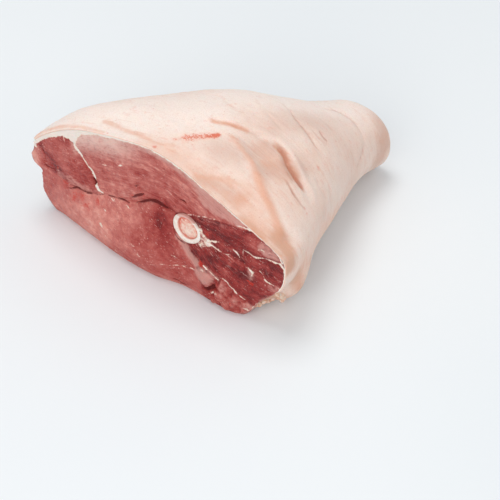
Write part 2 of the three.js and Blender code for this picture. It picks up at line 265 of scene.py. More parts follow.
def soft_noise(points, size, seed):
    """Smooth noise from -1 to 1 whose features have the given size in mm."""
    side = 32
    lattice = np.random.default_rng(seed).uniform(-1, 1, (side,) * 3)
    at = points / size
    base = np.floor(at).astype(int)
    part = at - base
    part = part * part * (3 - 2 * part)
    total = np.zeros(points.shape[:-1])
    for corner in np.ndindex(2, 2, 2):
        weight = np.prod(np.where(np.array(corner) == 1, part, 1 - part), axis=-1)
        x, y, z = (base[..., i] + corner[i] for i in range(3))
        total += weight * lattice[x % side, y % side, z % side]
    return total


def layered_noise(points, size, seed, layers=3):
    """Soft noise with finer and weaker layers of it on top."""
    return sum(soft_noise(points, size / 2**i, seed + i) / 2**i for i in range(layers)) / 1.5


# ---------------------------------------------------------------- the leg's sections

SCAN = np.linspace(0, 1, 353)[:-1]  # turns that show how far a section reaches


def rim_keys():
    points = [CUT_RIM[-1], *CUT_RIM, CUT_RIM[0], CUT_RIM[1]]
    lengths = [math.dist(a, b) for a, b in zip(points[:-1], points[1:])]
    places = np.cumsum([-lengths[0], *lengths])
    return np.column_stack([places, points])


RIM_KEYS = rim_keys()


def rim_points(turn):
    """The rim (y, z) at turns, where each quarter turn starts at its own rim point."""
    turn = np.mod(turn, 1)
    quarter = np.minimum(np.floor(turn * 4).astype(int), 3)
    starts = RIM_KEYS[np.array(QUARTER_STARTS) + 1, 0]
    points = through(RIM_KEYS, lerp(starts[quarter], starts[quarter + 1], turn * 4 - quarter))
    return np.stack([points[..., 0], np.maximum(points[..., 1], 0)], -1)


TOP_RIM = rim_points(np.linspace(0.0, 0.49, 260))  # the rim over the top, as a run
FIBRE_RIM = rim_points(np.linspace(0.01, 0.46, 240))  # the part of it that fibres follow


def rounded_square(turn, squareness):
    across, up = np.cos(turn * 2 * np.pi), np.sin(turn * 2 * np.pi)
    radius = (np.abs(across) ** squareness + np.abs(up) ** squareness) ** (-1 / squareness)
    return np.stack([-across * radius, up * radius], -1)


def fit(points, low, high, to_low, to_high):
    return lerp(to_low, to_high, (points - low) / (high - low))


RIM_LOW, RIM_HIGH = rim_points(SCAN).min(0), rim_points(SCAN).max(0)


def mixed_section(distance, turn):
    """The section's plain outline before it is fitted to the leg's size; distance and turn broadcast."""
    turn = np.mod(turn, 1)
    in_flap = smooth_step(turn, *FLAP_TURNS)
    share = lerp(through(ROUND_SHARE, distance), through(FLAP_SHARE, distance), in_flap)
    under = lerp(through(UNDER_SQUARENESS, distance), through(FLAP_SQUARENESS, distance), in_flap)
    round_part = rounded_square(turn, np.where(turn > 0.5, under, OVER_SQUARENESS))
    rim_part = fit(rim_points(turn), RIM_LOW, RIM_HIGH, -1, 1)
    return lerp(rim_part, round_part, share[..., None])


def section(distance, turn):
    """The leg's outline (y, z): distance has one value for each row of turns."""
    column = np.asarray(distance, float)[:, None]
    extent = mixed_section(column, SCAN[None, :])
    low, high = extent.min(1)[:, None, :], extent.max(1)[:, None, :]
    front, ham, crest = (through(profile, column) for profile in (FRONT_SIDE, HAM_SIDE, CREST_HEIGHT))
    to_low = np.stack([front, np.full_like(front, -SAG)], -1)
    to_high = np.stack([ham, crest], -1)
    middle = np.stack([(front + ham) / 2, crest / 2], -1)
    turned_in = np.maximum(column - (LEG_LENGTH - END_ROUNDING), 0) / END_ROUNDING
    inset = END_ROUNDING * (1 - np.sqrt(np.maximum(1 - turned_in**2, 0)))
    shrink = np.stack([1 - 2 * inset / (ham - front), 1 - 2 * inset / crest], -1)
    outline = middle + (fit(mixed_section(column, turn), low, high, to_low, to_high) - middle) * shrink
    behind = column / FAT_SWELL["distance"]
    within = window(np.mod(turn, 1) * 360, *FAT_SWELL["degrees"])
    swell = FAT_SWELL["height"] * within * behind * np.exp(1 - behind)
    angle = turn * 2 * np.pi
    y, z = outline[..., 0] - swell * np.cos(angle), outline[..., 1] + swell * np.sin(angle)
    return np.stack([y, np.maximum(z, 0)], -1)


def low_bulge(points):
    """How far the lower part of the cut stands out towards -X at (y, z)."""
    y, z = points[..., 0], points[..., 1]
    turn_back = UNDER_TURN * (1 - np.minimum(z / BULGE_BOTTOM, 1)) ** 2
    bulge = np.maximum(through(LOW_BULGE, y), 0)
    standing = bulge * (1 - smooth_step(z, BULGE_BOTTOM, BULGE_TOP))
    return standing - turn_back * np.minimum(bulge / UNDER_TURN, 1)


def skin_points(distance, turn):
    """Points of the plain skin: distance has one value for each row of turns."""
    distance = np.asarray(distance, float)
    bulge = low_bulge(rim_points(turn)) * (1 - distance[:, None] / LEG_LENGTH)
    return with_x(CUT_X + distance[:, None] - bulge, section(distance, turn))


def skin_run(places):
    """The skin's points at places (distance, degrees)."""
    places = np.array(places, float)
    return skin_points(places[:, 0], places[:, 1:2] / 360)[:, 0]


def grid_normals(points):
    along, around = np.gradient(points, axis=0), np.gradient(points, axis=1)
    normals = np.cross(along, around)
    return normals / np.maximum(np.linalg.norm(normals, axis=-1, keepdims=True), 1e-9)


def fold_relief(points):
    """The height of the folds and hollows that the solids have too."""
    height = 0
    for places, width, fold_height in FOLDS:
        height = height + fold_height * hump(run_distance(points, skin_run(places)), width)
    for place, radius, depth in HOLLOWS:
        height = height - depth * hump(np.linalg.norm(points - skin_run([place])[0], axis=-1), radius)
    return height * smooth_step(points[..., 0] - CUT_X, 0, PLAIN_RIM)


# ---------------------------------------------------------------- meshes


def grid_quads(rows, columns, closed=False, start=0):
    """Quads of a grid of points, row by row, that face along the rows' order crossed with the columns'."""
    row = np.arange(rows - 1)[:, None] * columns
    column = np.arange(columns if closed else columns - 1)[None, :]
    a, b = row + column, row + (column + 1) % columns
    return (np.stack([a, a + columns, b + columns, b], -1) + start).reshape(-1, 4)


def stepped_strip(fine, coarse, step):
    """Triangles from a closed run of points to a coarser one that has a point for every step of them."""
    faces = []
    for j in range(len(coarse)):
        here, after = coarse[j], coarse[(j + 1) % len(coarse)]
        ends = [fine[(j * step + i) % len(fine)] for i in range(step + 1)]
        for i in range(step):
            faces.append((ends[i], ends[i + 1], here if i < step // 2 else after))
        faces.append((here, ends[step // 2], after))
    return np.array(faces)


def stack_faces(count, sides, start=0):
    """Faces of a stack of closed rings, and of the two points numbered after them that close its ends."""
    first = np.arange(sides) + start
    last = first + (count - 1) * sides
    tip = start + count * sides
    return [
        grid_quads(count, sides, closed=True, start=start),
        np.stack([first, np.roll(first, -1), np.full(sides, tip)], -1),
        np.stack([np.roll(last, -1), last, np.full(sides, tip + 1)], -1),
    ]


def add_mesh(name, points, face_groups, attributes=None, flat=()):
    """An object from points in mm and arrays of quads and triangles, smooth but for the flat groups."""
    mesh = bpy.data.meshes.new(name)
    mesh.vertices.add(len(points))
    mesh.vertices.foreach_set("co", (np.asarray(points, float) * MM).astype(np.float32).ravel())
    counts = np.concatenate([np.full(len(group), group.shape[1]) for group in face_groups])
    loops = np.concatenate([group.ravel() for group in face_groups])
    mesh.loops.add(len(loops))
    mesh.loops.foreach_set("vertex_index", loops.astype(np.int32))
    mesh.polygons.add(len(counts))
    mesh.polygons.foreach_set("loop_start", (np.cumsum(counts) - counts).astype(np.int32))
    smooth = [np.full(len(group), index not in flat) for index, group in enumerate(face_groups)]
    mesh.polygons.foreach_set("use_smooth", np.concatenate(smooth))
    mesh.update(calc_edges=True)
    for label, values in (attributes or {}).items():
        values = np.asarray(values, np.float32)
        kind = "FLOAT_VECTOR" if values.ndim == 2 else "FLOAT"
        attribute = mesh.attributes.new(label, kind, "POINT")
        attribute.data.foreach_set("vector" if values.ndim == 2 else "value", values.ravel())
    mesh.validate()
    piece = bpy.data.objects.new(name, mesh)
    scene.collection.objects.link(piece)
    return piece


def dress(piece, material, node):
    """Give a piece its material, and let it stand for a solid."""
    piece.data.materials.append(material)
    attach(piece, "root")
    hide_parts(node)


# ---------------------------------------------------------------- materials


def srgb(colour):
    """A linear colour from its 0 to 255 screen values."""
    channels = [value / 255 for value in colour]
    return (*(c / 12.92 if c <= 0.04045 else ((c + 0.055) / 1.055) ** 2.4 for c in channels), 1.0)


class Paint:
    """A material under construction: each method adds one node and returns its output."""

    def __init__(self, name):
        self.material = bpy.data.materials.new(name)
        self.material.use_nodes = True
        self.nodes = self.material.node_tree.nodes
        self.links = self.material.node_tree.links
        self.shader = self.nodes["Principled BSDF"]
        self.place = self.node("ShaderNodeTexCoord").outputs["Object"]

    def node(self, kind, **settings):
        made = self.nodes.new(kind)
        for key, value in settings.items():
            setattr(made, key, value)
        return made

    def feed(self, socket, value):
        if isinstance(value, bpy.types.NodeSocket):
            self.links.new(value, socket)
        else:
            socket.default_value = value

    def attribute(self, name, vector=False):
        return self.node("ShaderNodeAttribute", attribute_name=name).outputs["Vector" if vector else "Fac"]

    def math(self, operation, a, b=0.0, c=0.0):
        made = self.node("ShaderNodeMath", operation=operation)
        for socket, value in zip(made.inputs, (a, b, c)):
            self.feed(socket, value)
        return made.outputs[0]

    def times(self, a, b):
        return self.math("MULTIPLY", a, b)

    def total(self, *terms):
        result = terms[0]
        for term in terms[1:]:
            result = self.math("ADD", result, term)
        return result

    def swings(self, *noises):
        """The sum of noises (noise, amount), each swinging about its middle by an amount."""
        swings = (self.times(self.math("SUBTRACT", noise, 0.5), amount) for noise, amount in noises)
        return self.total(*swings)

    def noise(self, size_mm, detail=2.0, rough=0.5, at=None, distortion=0.0):
        """Noise from 0 to 1 with features of a size in mm; at may be a place in mm of its own."""
        made = self.node("ShaderNodeTexNoise")
        self.feed(made.inputs["Vector"], self.place if at is None else at)
        made.inputs["Scale"].default_value = 1 / (size_mm * (MM if at is None else 1))
        made.inputs["Detail"].default_value = detail
        made.inputs["Roughness"].default_value = rough
        made.inputs["Distortion"].default_value = distortion
        return made.outputs["Fac"]

    def remap(self, value, low, high, to_low=0.0, to_high=1.0):
        made = self.node("ShaderNodeMapRange", interpolation_type="SMOOTHSTEP")
        for socket, given in zip(made.inputs, (value, low, high, to_low, to_high)):
            self.feed(socket, given)
        return made.outputs["Result"]

    def ramp(self, value, *stops):
        """Colours along a value, from stops (place, screen colour)."""
        made = self.node("ShaderNodeValToRGB")
        elements = made.color_ramp.elements
        while len(elements) < len(stops):
            elements.new(0.5)
        for element, (place, colour) in zip(elements, stops):
            element.position = place
            element.color = srgb(colour)
        self.feed(made.inputs["Fac"], value)
        return made.outputs["Color"]

    def mix(self, share, a, b):
        """Colour a with a share of colour b laid over it; b may be a screen colour."""
        made = self.node("ShaderNodeMix", data_type="RGBA")
        colour_a, colour_b = (socket for socket in made.inputs if socket.type == "RGBA")
        self.feed(made.inputs["Factor"], share)
        self.feed(colour_a, a)
        self.feed(colour_b, srgb(b) if isinstance(b, tuple) else b)
        return next(socket for socket in made.outputs if socket.type == "RGBA")

    def tinted(self, colour, tint, share, amount):
        """The colour with at most a share of a tint over it, where an amount from 0 to 1 says."""
        return self.mix(self.times(amount, share), colour, tint)

    def stained(self, colour, tint, share, name, edge, *noises):
        """The colour tinted where an attribute is high, between two values; noises make the edge uneven."""
        reach = self.total(self.attribute(name), self.swings(*noises))
        return self.tinted(colour, tint, share, self.remap(reach, *edge))

    def bump(self, height, depth_mm, below=None):
        made = self.node("ShaderNodeBump")
        made.inputs["Distance"].default_value = depth_mm * MM
        for label, value in (("Strength", 1.0), ("Height", height), ("Normal", below)):
            if value is not None:
                self.feed(made.inputs[label], value)
        return made.outputs["Normal"]

    def finish(self, colour, roughness, normal, **others):
        """The material, with values for its shader; an underscore stands for a space in a name."""
        values = {"Base_Color": colour, "Roughness": roughness, "Normal": normal, **others}
        for label, value in values.items():
            self.feed(self.shader.inputs[label.replace("_", " ")], value)
        return self.material


def flesh(weight, radius, depth_mm):
    """How far light goes into a material, for its finish."""
    return {"Subsurface_Weight": weight, "Subsurface_Radius": radius, "Subsurface_Scale": depth_mm * MM}


# Screen colours that several materials share, or that have a table of their own.
FAT_WHITE = (243, 230, 220)
LEAN_TONES = (
    (0.0, (106, 20, 22)), (0.22, (150, 44, 41)), (0.45, (177, 78, 71)), (0.65, (195, 107, 98)),
    (0.85, (216, 136, 124)), (1.0, (230, 162, 148)),
)
FAT_TONES = ((0.15, (228, 186, 172)), (0.45, (238, 218, 200)), (0.75, FAT_WHITE))

# Tinted places of the rind: attribute, tint and the most of it that shows. Some of them are painted shade and
# painted light.
RIND_TINTS = (
    # The first tint is painted shade, the second painted light and the third the skin's own peach; the tan
    # tint below is the skin's own tan near the cut with painted shade over it elsewhere.
    ("rind_shade", (216, 184, 169), 0.9), ("rind_light", (251, 235, 226), 0.8), ("peach", (228, 172, 144), 0.85),
    ("tan_and_shade", (212, 160, 132), 0.85),
)
RIND_EDGE = (0.02, 0.95)  # where a tinted place starts to show and where it shows in full


def lean_material():
    paint = Paint("lean")
    grain = paint.attribute("grain", vector=True)
    streak = paint.attribute("streak")
    fibres = paint.noise(1.3, 3.0, 0.65, at=grain, distortion=0.35)
    bundles = paint.noise(4.6, at=grain, distortion=0.5)
    mottle = paint.noise(5.0, 3.0, 0.62)
    speckle = paint.noise(0.8, 2.0, 0.6)
    colour = paint.ramp(paint.total(
        paint.attribute("tone"),
        paint.times(paint.swings((fibres, 0.7), (bundles, 0.85)), streak),
        paint.swings((paint.noise(13.0), 0.5), (mottle, 0.6), (speckle, 0.28)),
    ), *LEAN_TONES)
    patches = paint.remap(paint.noise(8.0), 0.42, 0.62)
    threads = paint.remap(paint.noise(1.1, at=grain, distortion=0.8), 0.6, 0.7)
    colour = paint.tinted(colour, (236, 190, 178), 0.6, paint.times(threads, patches))
    colour = paint.tinted(colour, (240, 204, 192), 0.5, paint.remap(paint.noise(1.5, 1.0, 0.4), 0.72, 0.78))
    sheen = paint.remap(paint.total(fibres, paint.swings((mottle, 1.2))), 0.1, 0.6, 0.5)
    colour = paint.mix(paint.times(paint.attribute("silver"), sheen), colour, (232, 194, 182))
    colour = paint.stained(
        colour, (218, 162, 151), 0.72, "film", (0.1, 0.95), (mottle, 1.0), (fibres, 0.6), (bundles, 0.5),
    )
    colour = paint.stained(
        colour, (196, 42, 24), 0.8, "blood", (0.6, 1.2), (fibres, 1.6), (mottle, 1.6), (speckle, 0.8),
    )
    # Painted shade in the gashes and pits, in the gap beside the thigh bone and along the rim at the front.
    colour = paint.stained(colour, (98, 14, 14), 0.9, "lean_shade", (0.3, 0.85), (mottle, 0.9), (speckle, 0.5))
    ragged = paint.swings((paint.noise(1.3), 1.6), (paint.noise(4.5, 1.0), 2.4))
    fat_reach = paint.total(paint.attribute("fat"), ragged)
    fat_tone = paint.total(paint.remap(fat_reach, 0.0, 1.0, 0.2, 0.8), paint.swings((paint.noise(3.0), 0.5)))
    colour = paint.mix(paint.remap(fat_reach, -0.3, 0.35), colour, paint.ramp(fat_tone, *FAT_TONES))
    threads_height = paint.times(paint.swings((fibres, streak)), paint.remap(fat_reach, -0.3, 0.35, 1.0, 0.0))
    normal = paint.bump(threads_height, 0.9, paint.bump(mottle, 1.5))
    normal = paint.bump(speckle, 0.35, normal)
    return paint.finish(
        colour, paint.remap(mottle, 0.35, 0.65, 0.34, 0.5), normal,
        IOR=1.4, Specular_IOR_Level=0.34, **flesh(0.2, (1.0, 0.3, 0.2), 2),
    )


def rind_material():
    paint = Paint("rind")
    broad = paint.noise(34.0)
    patches = paint.noise(9.0, 3.0, 0.55)
    around = paint.attribute("around", vector=True)
    lines = paint.noise(3.2, 3.0, 0.6, at=around, distortion=0.3)
    colour = paint.ramp(
        paint.total(paint.times(broad, 0.7), paint.times(patches, 0.3)),
        (0.3, (230, 202, 187)), (0.5, (238, 214, 201)), (0.7, (243, 223, 211)),
    )
    uneven = ((patches, 0.5), (lines, 0.5))
    # The skin's tints, among them painted shade, painted light and painted shade over the skin's tan.
    for name, tint, share in RIND_TINTS:
        colour = paint.stained(colour, tint, share, name, RIND_EDGE, *uneven)
    colour = paint.tinted(colour, (226, 172, 152), 0.16, paint.remap(lines, 0.56, 0.74))
    # Painted shade along the creases.
    colour = paint.stained(colour, (192, 128, 104), 0.85, "crease", RIND_EDGE, *uneven)
    flushes = (paint.noise(3.0, 3.0, 0.6), 1.6)
    colour = paint.stained(colour, (222, 130, 110), 0.7, "flush", (0.3, 1.0), flushes)
    colour = paint.tinted(colour, (234, 176, 154), 0.3, paint.remap(paint.noise(6.0, 3.0, 0.6), 0.58, 0.74))
    scratches = ((paint.noise(1.6, 3.0, 0.65), 2.2), (lines, 1.2))
    colour = paint.stained(colour, (212, 68, 22), 0.9, "scrape", (0.45, 1.05), *scratches)
    colour = paint.stained(colour, (236, 158, 128), 0.3, "scrape", (0.02, 0.6), *uneven)
    colour = paint.tinted(colour, (196, 148, 128), 0.16, paint.remap(paint.noise(1.1, 2.0, 0.7), 0.42, 0.66))
    colour = paint.tinted(colour, (206, 140, 120), 0.4, paint.remap(paint.noise(2.2, 1.0, 0.4), 0.73, 0.8))
    edge = paint.attribute("cut")
    colour = paint.mix(paint.remap(edge, 0.15, 0.6), colour, (238, 186, 164))
    colour = paint.mix(paint.remap(edge, 0.6, 1.0), colour, FAT_WHITE)
    wrinkles = paint.bump(paint.noise(2.2, 3.0, 0.6, at=around), 0.28)
    return paint.finish(
        colour, paint.remap(patches, 0.3, 0.7, 0.44, 0.58),
        paint.bump(paint.noise(0.8, 2.0, 0.6), 0.14, wrinkles),
        IOR=1.4, Specular_IOR_Level=0.4, **flesh(0.3, (1.0, 0.5, 0.35), 3),
    )


def bone_material():
    paint = Paint("bone")
    patches = paint.noise(4.0, 3.0, 0.6)
    colour = paint.ramp(patches, (0.3, (236, 214, 200)), (0.5, (248, 237, 226)), (0.7, (252, 247, 240)))
    colour = paint.stained(colour, (226, 130, 108), 0.75, "inner", (0.3, 1.0), (patches, 1.0))
    colour = paint.stained(colour, (214, 146, 134), 0.75, "veil", (0.35, 0.9), (patches, 1.6))
    grit = paint.bump(paint.noise(0.7, 2.0, 0.6), 0.25)
    return paint.finish(colour, 0.42, grit, **flesh(0.15, (1.0, 0.6, 0.45), 2))


def marrow_material():
    paint = Paint("marrow")
    patches = paint.noise(3.0, 3.0, 0.65)
    colour = paint.ramp(patches, (0.35, (236, 168, 146)), (0.5, (244, 204, 186)), (0.66, (249, 224, 208)))
    specks = paint.remap(paint.total(paint.noise(1.9, 3.0, 0.7), paint.attribute("rim")), 0.6, 0.88)
    colour = paint.tinted(colour, (222, 92, 62), 0.85, specks)
    return paint.finish(
        colour, 0.32, paint.bump(paint.noise(1.6), 0.8),
        Coat_Weight=0.15, Coat_Roughness=0.2, **flesh(0.3, (1.0, 0.4, 0.3), 2),
    )


def fat_material():
    paint = Paint("fat")
    patches = paint.noise(3.4, 3.0, 0.62)
    colour = paint.ramp(patches, (0.3, (222, 160, 128)), (0.48, (232, 192, 166)), (0.66, FAT_WHITE))
    colour = paint.tinted(colour, (206, 112, 94), 0.6, paint.remap(paint.noise(2.4), 0.6, 0.72))
    return paint.finish(colour, 0.4, paint.bump(paint.noise(1.2), 0.7), **flesh(0.3, (1.0, 0.55, 0.4), 2.5))


# ---------------------------------------------------------------- where the rind reaches

RIND_THICKNESS = 2.2
LIP_RADIUS = 0.9

# The rind's free edges on the underside: (distance, turn). From the last key on it goes right round the leg.
RIND_FRONT = [(0, -0.03), (27, -0.13), (60, -0.2), (110, -0.249), (223, -0.249)]
RIND_HAM = [(0, 0.468), (12, 0.5), (40, 0.535), (80, 0.62), (115, 0.749), (223, 0.749)]
UNDER_EDGE = (0.004, 0.016)  # turns beyond the rind's edge over which bare meat begins


def rind_edges(distance):
    return np.interp(distance, *zip(*RIND_FRONT)), np.interp(distance, *zip(*RIND_HAM))


def under_rind(distance, turn):
    """1 under the rind and 0 on bare meat, with a soft change just outside the rind's edge."""
    front, ham = rind_edges(distance)
    turn = np.mod(turn - front, 1) + front
    beyond = np.minimum(np.maximum(turn - ham, 0), np.maximum(front + 1 - turn, 0))
    return 1 - smooth_step(beyond, *UNDER_EDGE)


# ---------------------------------------------------------------- rind

RIND_COLUMNS, RIND_ROWS, INNER_STEP = 352, 240, 4
RIND_FIRST_STEPS = (0.12, 0.22, 0.3, 0.4)  # mm between the rind's first rows
RIND_LAST_ROWS = (0.8, 0.5, 0.25, 0.1)  # mm from its last rows to the end of the shank
AROUND_STRETCH = (0.14, 0.05)  # how lines round the leg are drawn out, by way round it and by height
RIND_LIFT = 0.2  # the least height of its inside

# Fine creases that only the skin has: points (distance, degrees), width, height and how much painted shade
# they get.
FINE_CREASES = [
    ([(57, 85.2), (61.5, 81), (65, 76.2), (67.5, 72.2), (69.5, 68.5), (71.5, 64.8)], 2.4, -0.25, 0.3),
    ([
        (76, 60), (77, 56), (74.5, 49.8), (69.5, 44.5), (66.5, 40), (64.5, 33.8), (64, 28), (64.5, 24),
    ], 2.6, -1, 1),
    ([(70, 52), (66, 46), (61, 41), (58, 34)], 2.4, -0.4, 0.3),
    ([(55, 42), (52.5, 38), (50, 33), (50, 26.8), (51, 21.5), (50.5, 18)], 1.6, -0.5, 0.6),
    ([(129, 80), (117, 65.5), (113, 56.8), (109.5, 48.8), (107.5, 42.5), (108.5, 37.5)], 1.6, -0.6, 0.45),
    ([(127, 53), (124.5, 46.8), (125.5, 41)], 1.3, -0.5, 0.75),
    ([(121, 56), (118, 50), (117, 44)], 1.2, -0.3, 0.3),
    ([(128.5, 88.5), (127.5, 80), (122, 68.8), (119, 60)], 1.5, -0.35, 0.25),
    ([(100, 78), (97, 74.2), (95, 67.5), (92.5, 60.5)], 2, -0.4, 0.2),
    ([(95, 108), (88, 98), (84, 91.8), (81, 83)], 2.4, -0.3, 0.2),
    ([(106, 90), (103, 80), (104, 72)], 2, -0.3, 0.15),
    ([
        (168.5, 84.5), (179.5, 80.5), (184, 67.5), (184.5, 54.5), (183.5, 41.5), (182.5, 31.5),
    ], 1.5, -0.45, 0.4),
    ([(181, 28), (176, 22), (171.5, 16.8), (162, 9.2), (155, 4)], 2.4, -0.5, 0.3),
    ([(142, 74), (146, 60), (144, 46)], 2.2, -0.3, 0.15),
    ([(84, 30), (82, 20), (84, 8)], 2.2, -0.4, 0.2),
    ([(96, 20), (92, 8), (92, -6)], 2.4, -0.5, 0.25),
    ([(40, 140), (46, 120), (50, 104)], 2.6, -0.3, 0.12),
    ([(84, 150), (88, 130), (86, 116)], 2.6, -0.4, 0.2),
    ([(132, 140), (136, 120), (133, 100)], 2.4, -0.4, 0.2),
    ([(168, 120), (174, 150), (172, 180), (166, 205)], 2.2, -0.6, 0.35),
    ([(120, 178), (124, 160), (122, 146)], 2.2, -0.4, 0.25),
]

# Tinted places of the skin: points (distance, degrees), reach in mm and strength.
TINTS = {
    "peach": [
        ([(52, 73.5), (46.5, 64), (43, 58), (36.5, 52.5)], 4, 0.55),
        ([(36.5, 52.5), (29, 45.5), (25, 38.5), (20.5, 30), (15.5, 20.5)], 5, 0.85),
        ([(2.5, 66), (8.5, 62), (15, 59), (19, 55)], 4.6, 0.6),
        ([(15, 59), (20, 53), (21, 43.8), (19, 36)], 6.5, 0.5),
        ([(14, 125), (12.5, 118), (10.5, 111), (10, 105), (8.5, 98), (8, 92.5), (13, 86)], 3.4, 0.6),
        ([(2, 170), (2.5, 161), (2.5, 145), (2.5, 132), (2, 120)], 2.6, 0.55),
        ([(57, 85.2), (61.5, 81), (65, 76.2), (67.5, 72.2)], 3, 0.8),
        ([(60, 56), (54, 46)], 17, 0.45),
        ([(12, 44), (8, 34), (5, 26)], 12, 0.6),
        ([(4, 96), (6, 78), (8, 60), (8, 44)], 15, 0.42),
        ([(26, 0), (40, -20)], 16, 0.4),
        ([(38, 40), (44, 28)], 14, 0.3),
        ([(110, 30), (150, 24)], 22, 0.25),
        ([(66, -10), (130, -24)], 20, 0.45),
        ([(30, 186), (90, 200)], 24, 0.4),
    ],
    # Painted shade: where the skin faces away from the light, in its hollows and on the shaded side of the
    # shank's end.
    "rind_shade": [
        ([(34, 72), (50, 62), (66, 58)], 17, 0.7),
        ([(46, 52), (60, 46), (72, 40)], 13, 0.9),
        ([(88, 66), (112, 62), (140, 60)], 17, 0.4),
        ([(3, 64), (8, 57), (12, 45)], 8, 0.75),
        ([(217, 80), (215, 40), (206, 8), (200, -8)], 13, 1),
    ],
    # The skin's own tan near the cut, and painted shade in the valley behind the cut, along the deep crease,
    # low on the front side and on the shaded side of the shank's end.
    "tan_and_shade": [
        ([(10, 19), (11, 14), (8, 8), (5, 2)], 8.5, 1),
        ([(15, 21), (11, 12)], 6, 0.6),
        ([(2, 36), (2, 20), (1, 8)], 5, 0.6),
        ([(20, -34), (34, -44), (50, -62)], 9, 0.7),
        ([(22, -8), (27, -20), (32, -30)], 8, 0.75),
        ([(206, 30), (205, 10), (201, -16)], 15, 0.3),
        ([(76, 57), (74.5, 49.8), (69.5, 43.5), (66.5, 37)], 3.6, 0.75),
    ],
    # Painted light: on the top of the leg, with painted highlights along ridges beside the creases.
    "rind_light": [
        ([(4, 150), (20, 120), (60, 100)], 46, 1), ([(110, 110), (165, 105)], 26, 0.85),
        ([(84, 102), (140, 92), (204, 86)], 24, 1),
        ([(72, 66), (81, 57), (79, 48), (75, 41), (70, 32)], 3, 0.45), ([(24, 24), (31, 6)], 7, 0.4),
    ],
    "scrape": [
        ([(46, 77.3), (42, 78.5)], 2.6, 1.3), ([(43, 78), (38, 79.8)], 3.2, 1.08),
        ([(38, 80.3), (31, 82.8), (27, 85)], 4.2, 0.84),
        ([(27, 85), (19, 88.2)], 2.4, 0.5),
        ([(45.5, 77.5), (52, 75.5)], 1.2, 0.3),
    ],
}

# Flushed spots: (distance, degrees), reach in mm and strength.
FLUSH = [
    ((4, 91.5), 2.2, 1), ((2.6, 117.6), 1.4, 0.9), ((9.5, 130.2), 1.3, 0.8), ((13, 137), 4, 0.3),
    ((27, 117.5), 3.4, 0.35),
    ((47.5, 113.5), 4, 0.3), ((93, 31.2), 3.2, 0.65), ((36, 59.5), 1.1, 0.7), ((29, 41.5), 1.1, 0.7),
    ((31, 27.5), 1.2, 0.7),
    ((51.5, 21.8), 1.5, 0.8), ((50.5, 18.6), 1.5, 0.8), ((137.5, 39.8), 1.5, 0.7), ((126, 48), 2, 0.5),
    ((113.5, 335), 2.2, 0.7),
    ((122, 334), 2.6, 0.6), ((66, 346), 1.6, 0.5), ((74.5, 22), 2.4, 0.35), ((23, 54), 2, 0.4),
    ((78, 111), 1.4, 0.4),
    ((60, 150), 3, 0.4), ((104, 160), 2.6, 0.4), ((140, 170), 3.4, 0.35), ((186, 120), 2.6, 0.35),
    ((160, 200), 3, 0.4),
]


def tint(points, places):
    """The strongest of several tinted places."""
    return np.max([
        strength * hump(run_distance(points, skin_run(rounded_run(run, steps=4))), reach)
        for run, reach, strength in places
    ], axis=0)


def crease_fields(points):
    """The height of the skin's folds and fine creases, and how much painted shade each crease gets."""
    height, crease_shade_shown = fold_relief(points), np.zeros(points.shape[:-1])
    for places, width, crease_height, strength in FINE_CREASES:
        away, place = run_reach(points, skin_run(rounded_run(places, steps=4)))
        line = hump(away, width) * window(place, 0, 0.2, 0.8, 1)
        height = height + crease_height * line
        crease_shade_shown = np.maximum(crease_shade_shown, strength * line)
    return height, crease_shade_shown


def spread(count, length, fine_steps):
    """Places from 0 to length: the given small steps first, and then even ones."""
    close = np.cumsum(fine_steps)
    return np.array([0, *close, *np.linspace(close[-1], length, count - len(close))[1:]])


def grid_edge(rows, columns, start=0):
    """The points round a grid's edge, in order."""
    index = np.arange(rows * columns).reshape(rows, columns) + start
    return np.concatenate([index[0, :-1], index[:-1, -1], index[-1, :0:-1], index[:0:-1, 0]])


